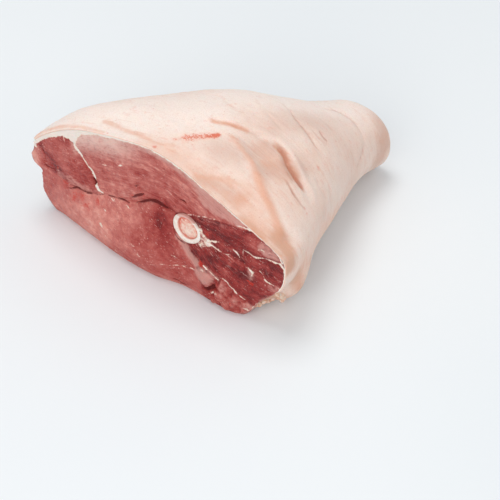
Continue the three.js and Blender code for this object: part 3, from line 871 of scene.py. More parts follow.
def add_rind():
    first_rows = spread(RIND_ROWS - 2, LEG_LENGTH - RIND_LAST_ROWS[0], RIND_FIRST_STEPS)
    rows = np.array([*first_rows, *(LEG_LENGTH - left for left in RIND_LAST_ROWS[1:])])
    front, ham = rind_edges(rows)
    turn = lerp(front[:, None], ham[:, None], np.linspace(0, 1, RIND_COLUMNS + 1)[None, :])
    plain = skin_points(rows, turn)
    normals = grid_normals(plain)
    height, creases = crease_fields(plain)
    calm = smooth_step(rows, 0, PLAIN_RIM)[:, None] * smooth_step(LEG_LENGTH - rows, 0, PLAIN_RIM)[:, None]
    steps = np.linalg.norm(np.diff(plain, axis=1), axis=-1)
    from_front = np.concatenate([np.zeros((len(rows), 1)), np.cumsum(steps, 1)], 1)
    along = np.broadcast_to(rows[:, None], plain.shape[:-1])
    around = np.stack([along, from_front * AROUND_STRETCH[0], plain[..., 2] * AROUND_STRETCH[1]], -1)
    uneven = 0.5 * layered_noise(plain, 26, seed=3) + 0.12 * layered_noise(plain, 5, seed=8)
    height = height + calm * (uneven + 0.16 * layered_noise(around, 4.5, seed=13))
    from_edge = np.minimum(from_front, from_front[:, -1:] - from_front)
    from_edge = np.minimum(from_edge, np.minimum(rows, rows[-1] - rows)[:, None])
    lip = LIP_RADIUS * (1 - np.sqrt(1 - (1 - np.clip(from_edge / LIP_RADIUS, 0, 1)) ** 2))
    outer = plain + normals * (height - lip)[..., None]
    inner = (plain + normals * (height - RIND_THICKNESS)[..., None])[::INNER_STEP, ::INNER_STEP]
    outer[..., 2] = np.maximum(outer[..., 2], 0)
    inner[..., 2] = np.maximum(inner[..., 2], RIND_LIFT)
    outer_grid, inner_grid, inner_start = outer.shape[:2], inner.shape[:2], outer[..., 0].size
    faces = [
        grid_quads(*outer_grid),
        grid_quads(*inner_grid, start=inner_start)[:, ::-1],
        stepped_strip(grid_edge(*outer_grid), grid_edge(*inner_grid, inner_start), INNER_STEP),
    ]
    spots = [(skin_run([place])[0], reach, strength) for place, reach, strength in FLUSH]
    looks = {name: tint(plain, places) for name, places in TINTS.items()}
    looks.update(flush=strongest_spot(plain, spots), crease=creases, cut=lip / LIP_RADIUS, around=around)

    def both(name, values):
        """Values for the outer points and for the inner ones, all of which count as cut."""
        within = values[::INNER_STEP, ::INNER_STEP]
        within = np.ones_like(within) if name == "cut" else within
        return np.concatenate([values.reshape(-1, *values.shape[2:]), within.reshape(-1, *values.shape[2:])])

    points = np.concatenate([outer.reshape(-1, 3), inner.reshape(-1, 3)])
    looks = {name: both(name, values) for name, values in looks.items()}
    dress(add_mesh("rind", points, faces, looks, flat=(2,)), rind_material(), "leg")


# ---------------------------------------------------------------- lean

AROUND, SIDE_AROUND = 704, 352
FACE_RINGS, SIDE_RINGS, END_RINGS = 96, 58, 16
RIM_RINGS = 16  # the cut's rings that lie close together at the rim
RING_SHARES = (0.004, 0.9)  # where the cut's rings start, and where the close ones do, on the way to the rim
SIDE_FIRST_STEPS = (0.6, 0.9, 1.5, 2.4)  # mm between the first rings of the sides
SPINE_FRONT, SPINE_HAM, SPINE_HEIGHT = -106, 100, 54  # the line in the cut's middle that its rings grow from
SET_BACK = 0.7 * RIND_THICKNESS  # how far the lean lies behind the rind's outside
NIBBLE = 2.4  # how far the bare rim is nibbled
RIM_NOISE_X, END_NOISE_X = 70, 300  # where the noise of the rim and of the shank's end is taken
HOLLOW_DEPTHS = (7, 5)  # how far the lean draws back behind the sawn bones of the cut and of the shank's end
BONE_HOLLOWS = ((0.8, 0.93), (0.8, 0.95))  # shares of a bone's outline between which it does so
BESIDE = 0.012  # the turn to either side within which bare meat keeps fat from the rind's edge
SIDE_GRAIN = (0.25, 1.0, 1.0)  # the stretch of the fibres on the sides

# Borders between the muscles of the cut, as points (y, z).
HAM_FOOT = [(160, 50), (117, 49), (94, 48), (70, 50), (61, 53)]
HAM_FRONT = [(59.5, 62), (62.8, 71), (70.5, 79), (78, 88.4), (84.5, 97), (86, 130)]
TOP_FOOT = [(51, 57.5), (30, 63), (16, 64.5), (9, 70), (0, 75.5), (-11, 76.7), (-25, 74)]
FRONT_TOP = [(-41, 81), (-52, 86.5), (-66, 91.3), (-94, 96.3), (-112, 100)]
FRONT_BACK = [(-31, 52.5), (-38, 45.7), (-45, 39)]
SHIN_TOP = [(-79, 35), (-84, 33.5), (-92.5, 25.5), (-101, 19.5), (-112, 10)]
SHIN_BACK = [(-58, 14), (-60, -12)]

# The muscles: outline, tone from 0 dark to 1 pale, how strongly the fibres show and their stretch. Fibres lie
# along the rim, in a fan from a point (y, z), or straight, rising to the front by a number of degrees.
MUSCLES = {
    "ham": {
        "outline": [*HAM_FOOT, *HAM_FRONT, (160, 110)],
        "tone": 0.46, "streak": 0.7, "fibres": 14, "stretch": 0.3,
    },
    "top": {
        "outline": [*HAM_FRONT[::-1], *TOP_FOOT, *FRONT_TOP, (-100, 140), (60, 145)],
        "tone": 0.6, "streak": 0.8, "fibres": "rim", "stretch": 0.18,
    },
    "inner": {
        "outline": [*HAM_FOOT, *TOP_FOOT, *FRONT_BACK, (-51, 32), *SHIN_BACK, (160, -12)],
        "tone": 0.73, "streak": 0.3, "fibres": -14, "stretch": 0.45,
    },
    "front": {
        "outline": [
            TOP_FOOT[-1], *FRONT_TOP, (-150, 100), (-160, 40), *SHIN_TOP[::-1], (-66, 36), (-56, 33),
            *FRONT_BACK[::-1],
        ],
        "tone": 0.19, "streak": 0.72, "fibres": (-13, 80), "stretch": 0.2,
    },
    "shin": {
        "outline": [*SHIN_TOP, (-125, -12), *SHIN_BACK[::-1], (-64, 24)],
        "tone": 0.4, "streak": 0.8, "fibres": -24, "stretch": 0.5,
    },
}
FAN_SPREAD = 80  # mm across the fan for one radian
FIBRE_SHEET = 40.0  # mm between the fibres of one muscle and the next in the noise that draws them

# Softer changes of tone: centre (y, z), reach (y, z) and change. The first, darkest patch, beside the thigh
# bone, is painted shade.
TONE_AND_SHADE_PATCHES = [
    ((-14, 58), (13, 20), -0.64), ((4, 66), (14, 8), -0.12), ((-36, 26), (24, 18), -0.26),
    ((-26, 40), (8, 14), -0.12),
    ((122, 30), (14, 20), -0.22), ((100, 42), (20, 8), -0.14), ((60, 34), (26, 14), 0.14),
    ((10, 34), (18, 15), -0.28), ((30, 46), (24, 10), 0.06),
    ((62, 16), (26, 9), 0.13), ((-6, 10), (44, 9), -0.2), ((30, 8), (24, 6), -0.08),
    ((46, 117), (30, 9), 0.2), ((-6, 84), (26, 7), -0.1), ((60, 92), (12, 14), -0.04),
    ((20, 74), (20, 6), 0.08),
    ((-36, 90), (12, 7), -0.1), ((54, 66), (8, 10), 0.08), ((-44, 105), (15, 8), 0.06),
    ((-12, 106), (14, 7), -0.06),
    ((138, 57), (10, 12), 0.6), ((127, 74), (4, 6), -0.3), ((118, 66), (12, 7), -0.26),
    ((106, 57), (8, 5), -0.3),
    ((104, 78), (18, 8), 0.12), ((86, 96), (7, 4), 0.08), ((84, 72), (10, 10), -0.08),
    ((72, 62), (8, 6), -0.2),
    ((130, 46), (5, 6), -0.2), ((96, 50), (10, 3), -0.14),
    ((-112, 88), (12, 8), 0.3), ((-124, 62), (12, 9), -0.08), ((-70, 80), (20, 6), -0.12),
    ((-65.5, 50), (5, 4), -0.24), ((-96, 51), (11, 6), -0.22), ((-94, 62), (8, 4), -0.1),
    ((-82, 57), (7, 5), 0.06), ((-128, 44), (9, 9), 0.22), ((-100, 34), (14, 6), 0.08),
    ((-112, 76), (12, 4), -0.1), ((-90, 12), (20, 6), 0.1),
]

# Grooves between muscles, mostly those that the solids have too: points (y, z), width and depth.
SEAMS = [
    ([(94, 48), (80, 49), (70, 50), (61, 53), (51, 57.5), (30, 63), (16, 64.5)], 4, 1.1),
    ([(16, 64.5), (9, 70), (0, 75.5), (-11, 76.7), (-24, 74.5)], 4.4, 2.1),
    ([(84, 95), (78, 88.4), (70.5, 79), (62.8, 71), (59.8, 61)], 3, 1.1),
    ([(130, 62), (122, 59), (110, 57)], 5, 1),
    ([(129, 77), (126, 69), (120, 64)], 4, 0.3),
    ([(-36, 53), (-42.4, 49), (-46.2, 44.8), (-50.6, 42.2), (-55, 40.2)], 2.6, 1.1),
    ([(-66, 17), (-79, 34.6), (-89.5, 27.9), (-96.3, 22.5), (-106, 14)], 3.4, 1.4),
    ([(-98, 73.7), (-110, 71.4), (-129, 77.8), (-139, 79)], 2.6, 0.8),
    ([(-114.9, 58.6), (-119.3, 53.7), (-134.9, 49.3)], 2.4, 0.8),
    ([(-56, 78), (-74, 74), (-90, 74)], 2.2, 0.7),
    ([(-60, 54), (-74, 52), (-92, 46)], 2.4, 0.8),
    ([(-72, 42), (-88, 40), (-104, 32)], 2.2, 0.7),
]

# Gashes and pits with painted shade in them: runs of (y, z, half width), how deep they are and how dark their
# painted shade is.
GASHES = [
    ([(20.8, 69.3, 0.3), (15, 74.4, 1.3), (10, 78, 1.3), (7.1, 80.2, 0.4)], 1, 0.9),
    ([
        (17, 63.6, 0.3), (9, 69.8, 1), (1.4, 74.9, 1.3), (-5.2, 77, 2.1), (-10.9, 76.5, 1.9),
        (-17.5, 74.9, 0.6),
    ], 1.5, 0.95),
    ([(-17.5, 74.9, 0.5), (-21, 74.2, 0.4), (-24.6, 73.6, 0.3)], 1.2, 0.7),
    ([
        (111, 48.6, 0.2), (96, 45.5, 0.3), (84, 48, 0.5), (72, 50, 0.4), (60, 52.8, 0.6), (50.5, 57.3, 0.4),
    ], 0.6, 0.65),
    ([(126, 72.5, 0.2), (124.6, 68.6, 1), (122.8, 63.6, 0.8), (123.4, 59, 0.3)], 0.9, 0.75),
    ([(125.4, 53.6, 0.2), (121.4, 50.9, 0.7), (116, 52, 0.5), (111, 54.4, 0.2)], 0.7, 0.7),
    ([
        (97.6, 40.4, 0.1), (90, 44.6, 0.5), (84.7, 47, 0.9), (78, 47.8, 0.4), (72.3, 48.8, 0.8),
        (66, 50.4, 0.3),
    ], 0.8, 0.85),
    ([(47, 58.2, 0.5), (42, 59.6, 0.7), (37.5, 60.6, 0.3)], 0.7, 0.9),
    ([(37, 60.6, 0.3), (33, 61.6, 0.8), (29, 62.8, 0.9), (22.5, 62.8, 0.3)], 0.8, 0.95),
    ([(64.2, 67.4, 0.8), (62.5, 64.9, 1.5), (63, 62.2, 1)], 2.6, 0.95),
    ([(-33.1, 93.6, 0.7), (-36.6, 93.9, 1.2), (-38.4, 92.6, 0.5)], 1.4, 0.95),
    ([
        (-60, 13.2, 0.5), (-64, 13.6, 1.5), (-68, 16.6, 2.2), (-71.6, 20.4, 1.5), (-73.2, 22.8, 0.4),
    ], 3.4, 1),
    ([(12.3, 87.6, 0.4), (14.8, 85.4, 0.6), (16.2, 84.2, 0.3)], 0.7, 0.8),
    ([(-27, 6, 0.5), (-33, 4.4, 0.9), (-40, 3.6, 0.5)], 1.4, 0.7),
    ([(-66, 61, 0.5), (-74, 58, 0.9), (-82, 57, 0.4)], 0.8, 0.6),
    ([(-84, 81, 0.4), (-93, 82, 0.8), (-101, 80, 0.4)], 0.8, 0.6),
    ([(-98, 47, 0.4), (-101, 55, 0.6), (-99, 63, 0.4)], 0.8, 0.5),
]
GASH_SHADE, GASH_DEEP = (-0.9, 0.6), (-1.0, 0.8)  # mm inside a gash over which its painted shade grows dark, and over which it grows deep

# Fat in the cut: runs of (y, z, half width), and outlines.
FAT_RUNS = [
    [
        (84.2, 95, 1.1), (82.2, 91, 1.6), (78, 87.6, 1.1), (73.8, 83.2, 0.75), (70.4, 79.2, 1.1),
        (66, 75, 1.2),
        (62.6, 71, 0.75), (60.8, 67.5, 0.6), (61, 61.6, 1.5), (58, 59, 1.7), (53, 57.8, 0.6),
    ],
    [(96.5, 98.5, 1.2), (95.5, 95.5, 0.6), (94.3, 92.3, 0.15)],
    [
        (-38, 79.8, 0.3), (-43, 82.8, 0.55), (-51.6, 86.4, 0.45), (-59, 89.2, 0.4), (-66, 91.3, 0.2),
        (-74.5, 94, 0.05),
    ],
    [(-90, 97.8, 0.1), (-98, 99, 0.6), (-104, 99.7, 1.4), (-109, 99.8, 1.1), (-114, 98.6, 0.4)],
    [(-62, 62.8, 1.3), (-68.3, 61.8, 1), (-73, 61.2, 0.6), (-79.6, 60.8, 0.2), (-88, 64.5, 0.05)],
    [(-62, 65.4, 1.2), (-69, 67.2, 0.8), (-75, 69.6, 0.2)],
    [(-88.6, 69.8, 0.4), (-91.7, 68.4, 1.2), (-94.6, 67, 0.7), (-95.4, 65.4, 0.1)],
    [(-97.8, 72.6, -0.1), (-99.1, 68, 0.1), (-100.8, 60.6, -0.1)],
    [
        (-97.8, 74.2, 0.3), (-104, 73.4, 0.5), (-108.5, 72, 0.5), (-113, 72.6, 0.7), (-117.5, 75.2, 0.7),
        (-121.4, 76.3, 0.4),
        (-128.7, 76.9, 0.7), (-135.6, 78.3, 1.4), (-139.4, 74.5, 1.6), (-139.6, 70.1, 1.2), (-139.2, 60, 0.6),
        (-137.4, 52, 0.4),
    ],
    [(-113.2, 83.2, 0.2), (-116.5, 84.4, 0.6), (-119.9, 84.1, 0.5), (-119.4, 81.6, 0.05)],
    [(-113, 91, 0.1), (-119.9, 94.6, 0.3), (-128.5, 91, 0.6), (-134.3, 85.6, 0.8), (-137.4, 80.3, 1.2)],
    [
        (-114.6, 59.1, 0.2), (-118, 57.3, 0.4), (-119.8, 52.8, 0.9), (-124.7, 50.4, 0.4),
        (-129.1, 49.4, 0.35),
        (-134, 49.1, 0.4), (-137, 51, 0.5),
    ],
    [(-121.6, 47.4, 0.05), (-120.9, 45.1, 0.25), (-118.1, 39.5, 0.05)],
    [
        (-101.4, 58.9, 0.2), (-104.4, 58.9, 0.8), (-106.6, 57.6, 0.9), (-108.8, 55.8, 1.3), (-108.2, 53, 0.7),
        (-107.3, 50.4, 0.1),
    ],
    [(-59.4, 37.8, 0.3), (-62.6, 36.9, 1), (-65, 35.9, 0)],
    [(-67, 35.2, 0.1), (-69.4, 34.2, 0.75), (-71.6, 33, 0.1)],
    [(-72.4, 31.6, 0.2), (-74.4, 30, 0.55), (-76.4, 28.4, 0.1)],
    [(-55, 31.8, 0.2), (-58.6, 33.2, 0.5), (-61.4, 32.4, 0.1)],
    [
        (-79.2, 34.6, 0.2), (-83.8, 33.5, 0.55), (-89.5, 27.9, 0.8), (-92.5, 25.5, 0.8), (-96.3, 22.5, 0.6),
        (-100.9, 19.5, 0.2),
    ],
    [(-65.5, 9.6, 0.2), (-68, 11.2, 0.9), (-71.5, 14.4, 0.45), (-74, 16, 0.6), (-77, 16.4, 0.1)],
    [
        (-100.4, 10.6, 0.2), (-102.9, 9.1, 0.7), (-105.6, 8.2, 0.9), (-107.6, 9.8, 0.35), (-109.4, 15.2, 0.5),
        (-112, 20.4, 0.4),
    ],
    [(-4.7, 14.7, 0.05), (-21.6, 20.5, 0.25), (-37, 25.5, 0.2), (-49.7, 27.9, 0.35)],
    [(-24.2, 32.1, 0.05), (-29.3, 31.9, 0.3), (-33.5, 31.1, 0.05)],
    [(54, 90.4, 0.1), (51, 90.8, 0.65), (46.2, 92.1, 0.2)],
    [(35, 97.6, 0.2), (31.2, 99.9, 0.6), (28, 102.2, 0.3)],
    [(47.8, 44, 0.3), (46.6, 43.4, 0.5)], [(42.6, 57.4, 0.2), (40, 56.6, 0.7), (37, 57, 0.2)],
    [(53.6, 28.4, 0.1), (52.4, 26.8, 0.6), (50, 25.8, 0.1)],
    [(9.4, 20.4, 0), (7.4, 18.6, 0.5), (4, 18.2, 0.2)],
    [(14.4, 27.4, 0), (12.6, 26, 0.5), (10.2, 26.6, 0)], [(6.4, 23.4, 0), (7, 19.4, 0.3)],
    [(51.6, 28.4, 0.5), (49.6, 27.2, 0.3)],
    [(45.6, 18.8, 0.6), (44.8, 16.6, 0.3)],
    [(34.5, 7.4, 0.6), (33.6, 4.4, 0.4)],
    [(39.8, 58.4, 0.3), (38.4, 57.2, 0.5)],
    [(26, 60.5, 0.1), (22, 59, 0.4), (18.5, 58.6, 0.1)],
]
FAT_WEDGE = [
    (93, 104), (88.5, 98.6), (85.4, 96.6), (84.8, 92.6), (83, 92.2), (82.4, 96.7), (79, 105.7), (74, 111.2),
    (66, 118), (80, 116),
]
FAT_CUSHION = [
    (-50, 78), (-53.5, 76), (-56.5, 70.6), (-60.5, 67), (-66, 66.8), (-64.5, 63.6), (-66, 61.2), (-61, 58.4),
    (-56.6, 54.6), (-52, 56), (-52, 68),
]

# How thick the fat is under the rind along the top of the cut: (y, mm).
FAT_BAND = [
    (-141, 1.6), (-118, 1.6), (-100, 1.9), (-60, 2.1), (0, 2.3), (22, 2.6), (50, 3.2), (66, 3.8), (75, 5),
    (82, 7.4),
    (87, 9), (92, 8.4), (97, 6), (104, 5.4), (112, 4.9), (124, 4.3), (131, 4.8), (135, 4), (137, 2),
]
FAT_BAND_FEET = (66, 80)  # the heights at which the band ends on the hamstring side and at the front

# A smooth knob between the shin's muscles, which a membrane covers: its outline (y, z).
KNOB = [
    (-50.4, 31), (-55, 35), (-60, 36.4), (-66, 33.8), (-70.4, 29.4), (-71, 24.6), (-65.6, 19), (-59.4, 17),
    (-53.4, 21), (-49.4, 27),
]

# Pale membranes over the meat: outline (y, z) and strength.
FILMS = [
    ([
        (-46, 114), (-55, 100), (-70, 96), (-88, 97), (-104, 99.6), (-101, 104), (-89, 108), (-80, 112),
        (-69, 119), (-58, 124),
    ], 0.85),
    ([
        (-111, 84), (-114, 92), (-121, 95), (-128, 92), (-136, 85), (-137, 80), (-132, 78.4), (-124, 77.5),
        (-118, 78),
    ], 0.75),
    ([
        (108, 57), (94.6, 58), (81, 56.6), (66, 57), (53, 57), (62, 52.5), (78, 47.6), (94, 46), (108, 47),
    ], 0.55),
    (KNOB, 1),
    ([
        (-28, 57), (-35, 54), (-42, 48.8), (-45.4, 44.6), (-50, 41.9), (-55, 39), (-56.4, 35), (-51.5, 30.6),
        (-47.4, 33.4),
        (-42.8, 37.2), (-38.2, 41.2), (-34.8, 45.6), (-28, 52),
    ], 1.15),
    ([(-104, 60), (-109, 58), (-111, 53), (-109.5, 47), (-105.4, 44.6), (-103.6, 52)], 0.75),
    ([(-96, 12), (-106, 5), (-113, 12), (-110, 18), (-103, 17)], 0.8),
    ([(-57, 39.4), (-64, 39), (-72, 36), (-78, 32), (-76, 27), (-70, 29), (-62, 34)], 0.7),
    ([(-75, 30), (-81, 33), (-86, 27), (-84, 20), (-77, 20)], 0.6),
    ([(-90, 22), (-96, 20), (-97, 13), (-90, 14)], 0.55),
    ([(-120, 51), (-128, 50), (-137, 52), (-134, 40), (-126, 38)], 0.55),
    ([(-48, 82), (-62, 84), (-80, 88), (-92, 92), (-80, 94), (-62, 89)], 0.4),
    ([(12, 74), (22, 78), (34, 72), (28, 65), (16, 66)], 0.4),
]
FILM_EDGE = (-2.5, 4)  # mm inside its outline from where a membrane shows and to where it shows in full

# How high things stand on the cut, in mm, and the gap beside the thigh bone: its width as a share of the
# bone's outline, its depth, how dark the painted shadow in it is, and where it starts in y from the bone's
# middle.
HEIGHTS = {
    "threads": 0.25, "waves": 0.45, "shin lumps": 2.4, "edge lumps": 0.8, "fat": 0.15, "cushion": 1,
    "knob": 1.6,
}
GAP = {"width": 0.06, "depth": 0.8, "shade": 0.75, "from": (-6, 6)}

# Spots of blood: centre (y, z) and radius.
BLOOD = [
    ((-57.5, 37), 3.6), ((-54.5, 40), 2.6), ((-108.4, 42), 3), ((-105, 44), 2.4), ((86, 37), 9),
    ((76, 42), 9),
    ((70, 37), 8), ((98, 44), 7), ((58, 46), 6), ((20, 72), 4), ((8, 79), 4), ((0, 77), 3.6), ((-8, 78), 3.6),
    ((-60, 71), 3.4), ((-66, 64), 3), ((-56, 36), 3.4),
    ((-72, 12), 3.4), ((-90, 11), 3.8), ((-102, 12), 3), ((14, 75), 2), ((56, 42), 2.2), ((107, 58), 3),
    ((127, 74), 2.2),
    ((-20, 24), 1.8), ((116, 62), 2.4), ((-38, 93), 2.6), ((52, 92), 1.6), ((24, 92), 2.2), ((-74, 22), 2.6),
    ((-112, 16), 2.4),
]
FRESH_BLOOD = [
    ((-56.6, 38), 3.2), ((-59.6, 36.8), 2), ((-107.8, 42), 3), ((-105.5, 44), 1.8), ((-14, 77.5), 2.4),
]
BLOOD_STRENGTHS = (0.9, 1.8)  # of the spots and of the fresh ones

# Silver skin under the rim: how near the rim it is full and how far off it ends, its span in y, and strength.
SILVER = [((4, 30), (-6, 44, 84, 90), 1), ((3, 10), (-74, -50, 84, 88), 0.55)]


def wandering(points, reach, size, seed):
    """The same points (y, z), moved about by smooth noise so that what is drawn at them looks grown."""
    place = with_x(0, points)
    shift = [layered_noise(place, size, seed), layered_noise(place, size, seed + 9)]
    return points + reach * np.stack(shift, -1)


def fibre_lines(points, fibres):
    """Where points (y, z) lie along and across a muscle's fibres."""
    y, z = points[..., 0], points[..., 1]
    if fibres == "rim":
        return y, z - np.interp(y, FIBRE_RIM[:, 0], FIBRE_RIM[:, 1])
    if isinstance(fibres, tuple):
        away = points - np.array(fibres, float)
        return np.linalg.norm(away, axis=-1), np.arctan2(away[..., 1], -away[..., 0]) * FAN_SPREAD
    angle = math.radians(fibres)
    return y * math.cos(angle) - z * math.sin(angle), y * math.sin(angle) + z * math.cos(angle)


def muscle_fields(points):
    """The tone, the streak and the fibres' place of each point (y, z) of the cut."""
    weights, grains = [], []
    for index, muscle in enumerate(MUSCLES.values()):
        inside = inside_outline(points, muscle["outline"])
        weights.append(smooth_step(inside, -1.6, 1.6) + 1e-6)
        along, across = fibre_lines(points, muscle["fibres"])
        sheet = np.full_like(along, index * FIBRE_SHEET)
        grains.append(np.stack([along * muscle["stretch"], across, sheet], -1))
    weights = np.array(weights)
    weights /= weights.sum(0)
    tone, streak = (
        np.tensordot(np.array([muscle[label] for muscle in MUSCLES.values()]), weights, 1)
        for label in ("tone", "streak")
    )
    grain = np.take_along_axis(np.array(grains), weights.argmax(0)[None, ..., None], 0)[0]
    return add_humps(tone, points, TONE_AND_SHADE_PATCHES), streak * smooth_step(weights.max(0), 0.5, 0.95), grain


def bone_reach(points, bone):
    """The distance of points (y, z) from a bone's middle, as a share of its outline."""
    away = (points - bone["sawn"]) / np.array(bone["half"])
    angle = np.arctan2(away[..., 1], -away[..., 0])
    return np.linalg.norm(away, axis=-1) / (1 + bone["egg"] * np.cos(3 * angle))


def cut_relief(points, inside):
    """How far the cut stands out towards -X at (y, z); inside is 0 on the rim and 1 away from it."""
    relief = add_humps(0, points, BELLIES)
    for seam, width, depth in SEAMS:
        relief = relief - depth * hump(run_distance(points, rounded_run(seam, steps=3)), width)
    for run, depth, _ in GASHES:
        relief = relief - depth * smooth_step(inside_run(points, run), *GASH_DEEP)
    return low_bulge(points) + relief * inside


def cut_fat(points):
    """How far points (y, z) of the cut lie inside its fat, in mm; negative in the lean."""
    fat = np.maximum(inside_runs(points, FAT_RUNS), inside_outline(points, FAT_WEDGE))
    fat = np.maximum(fat, np.minimum(inside_outline(points, FAT_CUSHION), 0.1))
    band = np.interp(points[..., 0], *zip(*FAT_BAND)) - run_distance(points, TOP_RIM)
    band = np.minimum(band, points[..., 1] - np.where(points[..., 0] > 0, *FAT_BAND_FEET))
    return np.clip(np.maximum(fat, band), -4, 4)


def lean_rim(turn, covered):
    """The rim of the lean: set back under the rind, and nibbled where it is bare."""
    rim = rim_points(turn)
    outward = np.roll(rim, -1, 0) - np.roll(rim, 1, 0)
    outward = np.stack([-outward[:, 1], outward[:, 0]], -1) / np.linalg.norm(outward, axis=-1, keepdims=True)
    place = with_x(RIM_NOISE_X, rim)
    nibbles = smooth_step(layered_noise(place, 7, seed=19), -0.5, 0.6)
    nibbles = nibbles + 0.3 * layered_noise(place, 3, seed=23)
    nibbled = (1 - covered) * np.maximum(nibbles, 0) * np.minimum(rim[:, 1] / 4, 1)
    rim = rim - outward * (SET_BACK * covered + NIBBLE * nibbled)[:, None]
    return np.stack([rim[:, 0], np.maximum(rim[:, 1], 0)], -1)


def lean_face():
    """The cut, in rings that grow from a line to the rim: its points, and what shows at them."""
    turn = np.arange(AROUND) / AROUND
    covered = under_rind(np.zeros(1), turn)
    start, close = RING_SHARES
    share = np.concatenate([
        np.linspace(start, close, FACE_RINGS - RIM_RINGS), np.linspace(close, 1, RIM_RINGS + 1)[1:],
    ])
    middle = lerp(SPINE_FRONT, SPINE_HAM, 1 - np.abs(turn * 2 - 1))
    middle = np.stack([middle, np.full(AROUND, SPINE_HEIGHT)], -1)
    flat = lerp(middle[None], lean_rim(turn, covered)[None], share[:, None, None])
    y, z = flat[..., 0], flat[..., 1]
    place = with_x(0, flat)
    drawn = wandering(flat, 0.8, 7, seed=81)

    tone, streak, grain = muscle_fields(wandering(flat, 1.6, 14, seed=91))
    fat = cut_fat(drawn)
    film = np.max([
        strength * smooth_step(inside_outline(drawn, outline), *FILM_EDGE) for outline, strength in FILMS
    ], axis=0)
    blood = strongest_spot(drawn, [
        (*spot, strength) for spots, strength in zip((BLOOD, FRESH_BLOOD), BLOOD_STRENGTHS) for spot in spots
    ])
    from_rim = run_distance(flat, TOP_RIM)
    silver = np.max([
        strength * (1 - smooth_step(from_rim, *reach)) * window(y, *span) for reach, span, strength in SILVER
    ], axis=0)
    from_bone = bone_reach(flat, THIGH_BONE)
    gap = hump(from_bone - 1.0, GAP["width"]) * smooth_step(y - THIGH_BONE["sawn"][0], *GAP["from"])
    # Painted shade: a dark band along the rim at the front where the rind's edge meets the cut, the gashes
    # and pits, and the gap beside the thigh bone.
    rim_shade = 0.6 * (1 - smooth_step(from_rim, 1.4, 3.0)) * smooth_step(-y, 70, 110)
    gash_shade = [shade * smooth_step(inside_run(drawn, run), *GASH_SHADE) for run, _, shade in GASHES]
    lean_shade = np.max([*gash_shade, rim_shade, GAP["shade"] * gap], axis=0)

    inside = 1 - smooth_step(share, RELIEF_FADE, 1)[:, None]
    edge_inside = 1 - smooth_step(share, 0.97, 1)[:, None]
    low_edge = smooth_step(14 - z, 0, 12) * smooth_step(share, 0.8, 0.95)[:, None]
    shin = smooth_step(inside_outline(flat, MUSCLES["shin"]["outline"]), -3, 6)
    lumps = layered_noise(place, 5, seed=27)
    threads = streak * soft_noise(grain, 2.6, seed=21) * (1 - smooth_step(fat, -1, 0))
    relief = cut_relief(flat, inside) + edge_inside * (
        HEIGHTS["threads"] * threads
        + HEIGHTS["waves"] * layered_noise(place, 9, seed=24)
        + (HEIGHTS["shin lumps"] * shin + HEIGHTS["edge lumps"] * low_edge) * lumps
        + HEIGHTS["fat"] * smooth_step(fat, -0.4, 0.5)
        + HEIGHTS["cushion"] * smooth_step(inside_outline(drawn, FAT_CUSHION), -0.5, 2.5)
        + HEIGHTS["knob"] * smooth_step(inside_outline(flat, KNOB), -2, 6)
    )
    relief = relief - HOLLOW_DEPTHS[0] * (1 - smooth_step(from_bone, *BONE_HOLLOWS[0]))
    relief = relief - GAP["depth"] * gap + 0.2 * (1 - edge_inside) * covered[None, :]
    # The shin's tone rises with its lumps, so they are paler where they stand out: painted light on them.
    return with_x(CUT_X - relief, flat), {
        "tone": tone + 0.32 * shin * lumps, "streak": streak, "silver": silver, "fat": fat, "film": film,
        "lean_shade": lean_shade, "blood": blood, "grain": grain,
    }


def lean_sides():
    """The sides, under the rind or bare: their points, and what shows at them."""
    rows = spread(SIDE_RINGS + 1, LEG_LENGTH, SIDE_FIRST_STEPS)[1:]
    turns = np.broadcast_to(np.arange(SIDE_AROUND) / SIDE_AROUND, (len(rows), SIDE_AROUND))
    plain = skin_points(rows, turns)
    normals = grid_normals(np.concatenate([plain[:, -1:], plain, plain[:, :1]], 1))[:, 1:-1]
    distance = rows[:, None]
    covered = under_rind(distance, turns)
    bare = 1 - covered
    rough = bare * (0.7 * layered_noise(plain, 12, seed=31) - 0.5 - 0.3 * layered_noise(plain, 4, seed=33))
    side = plain + normals * (fold_relief(plain) - SET_BACK * covered + rough)[..., None]
    side[..., 2] = np.maximum(side[..., 2], SET_BACK * covered)
    bare_fat = 2.4 * layered_noise(plain, 16, seed=35) - 0.9 + 0.6 * smooth_step(distance, 20, 90)
    beside = under_rind(distance, turns + BESIDE) + under_rind(distance, turns - BESIDE)
    edge_fat = smooth_step(beside, 0.2, 1.2)
    fat = np.maximum(np.where(bare > 0.5, bare_fat, 1.0), 2.5 * edge_fat * bare - 0.6)
    return side, {
        "tone": 0.55 + 0.25 * layered_noise(plain, 18, seed=53), "streak": 0.5, "silver": 0.3 * bare,
        "fat": np.where(distance < 3, np.minimum(fat, -0.5 + 2 * covered), fat),
        "film": 0.5 * bare * smooth_step(layered_noise(plain, 24, seed=51), -0.2, 0.5),
        "grain": plain * np.array(SIDE_GRAIN),
    }


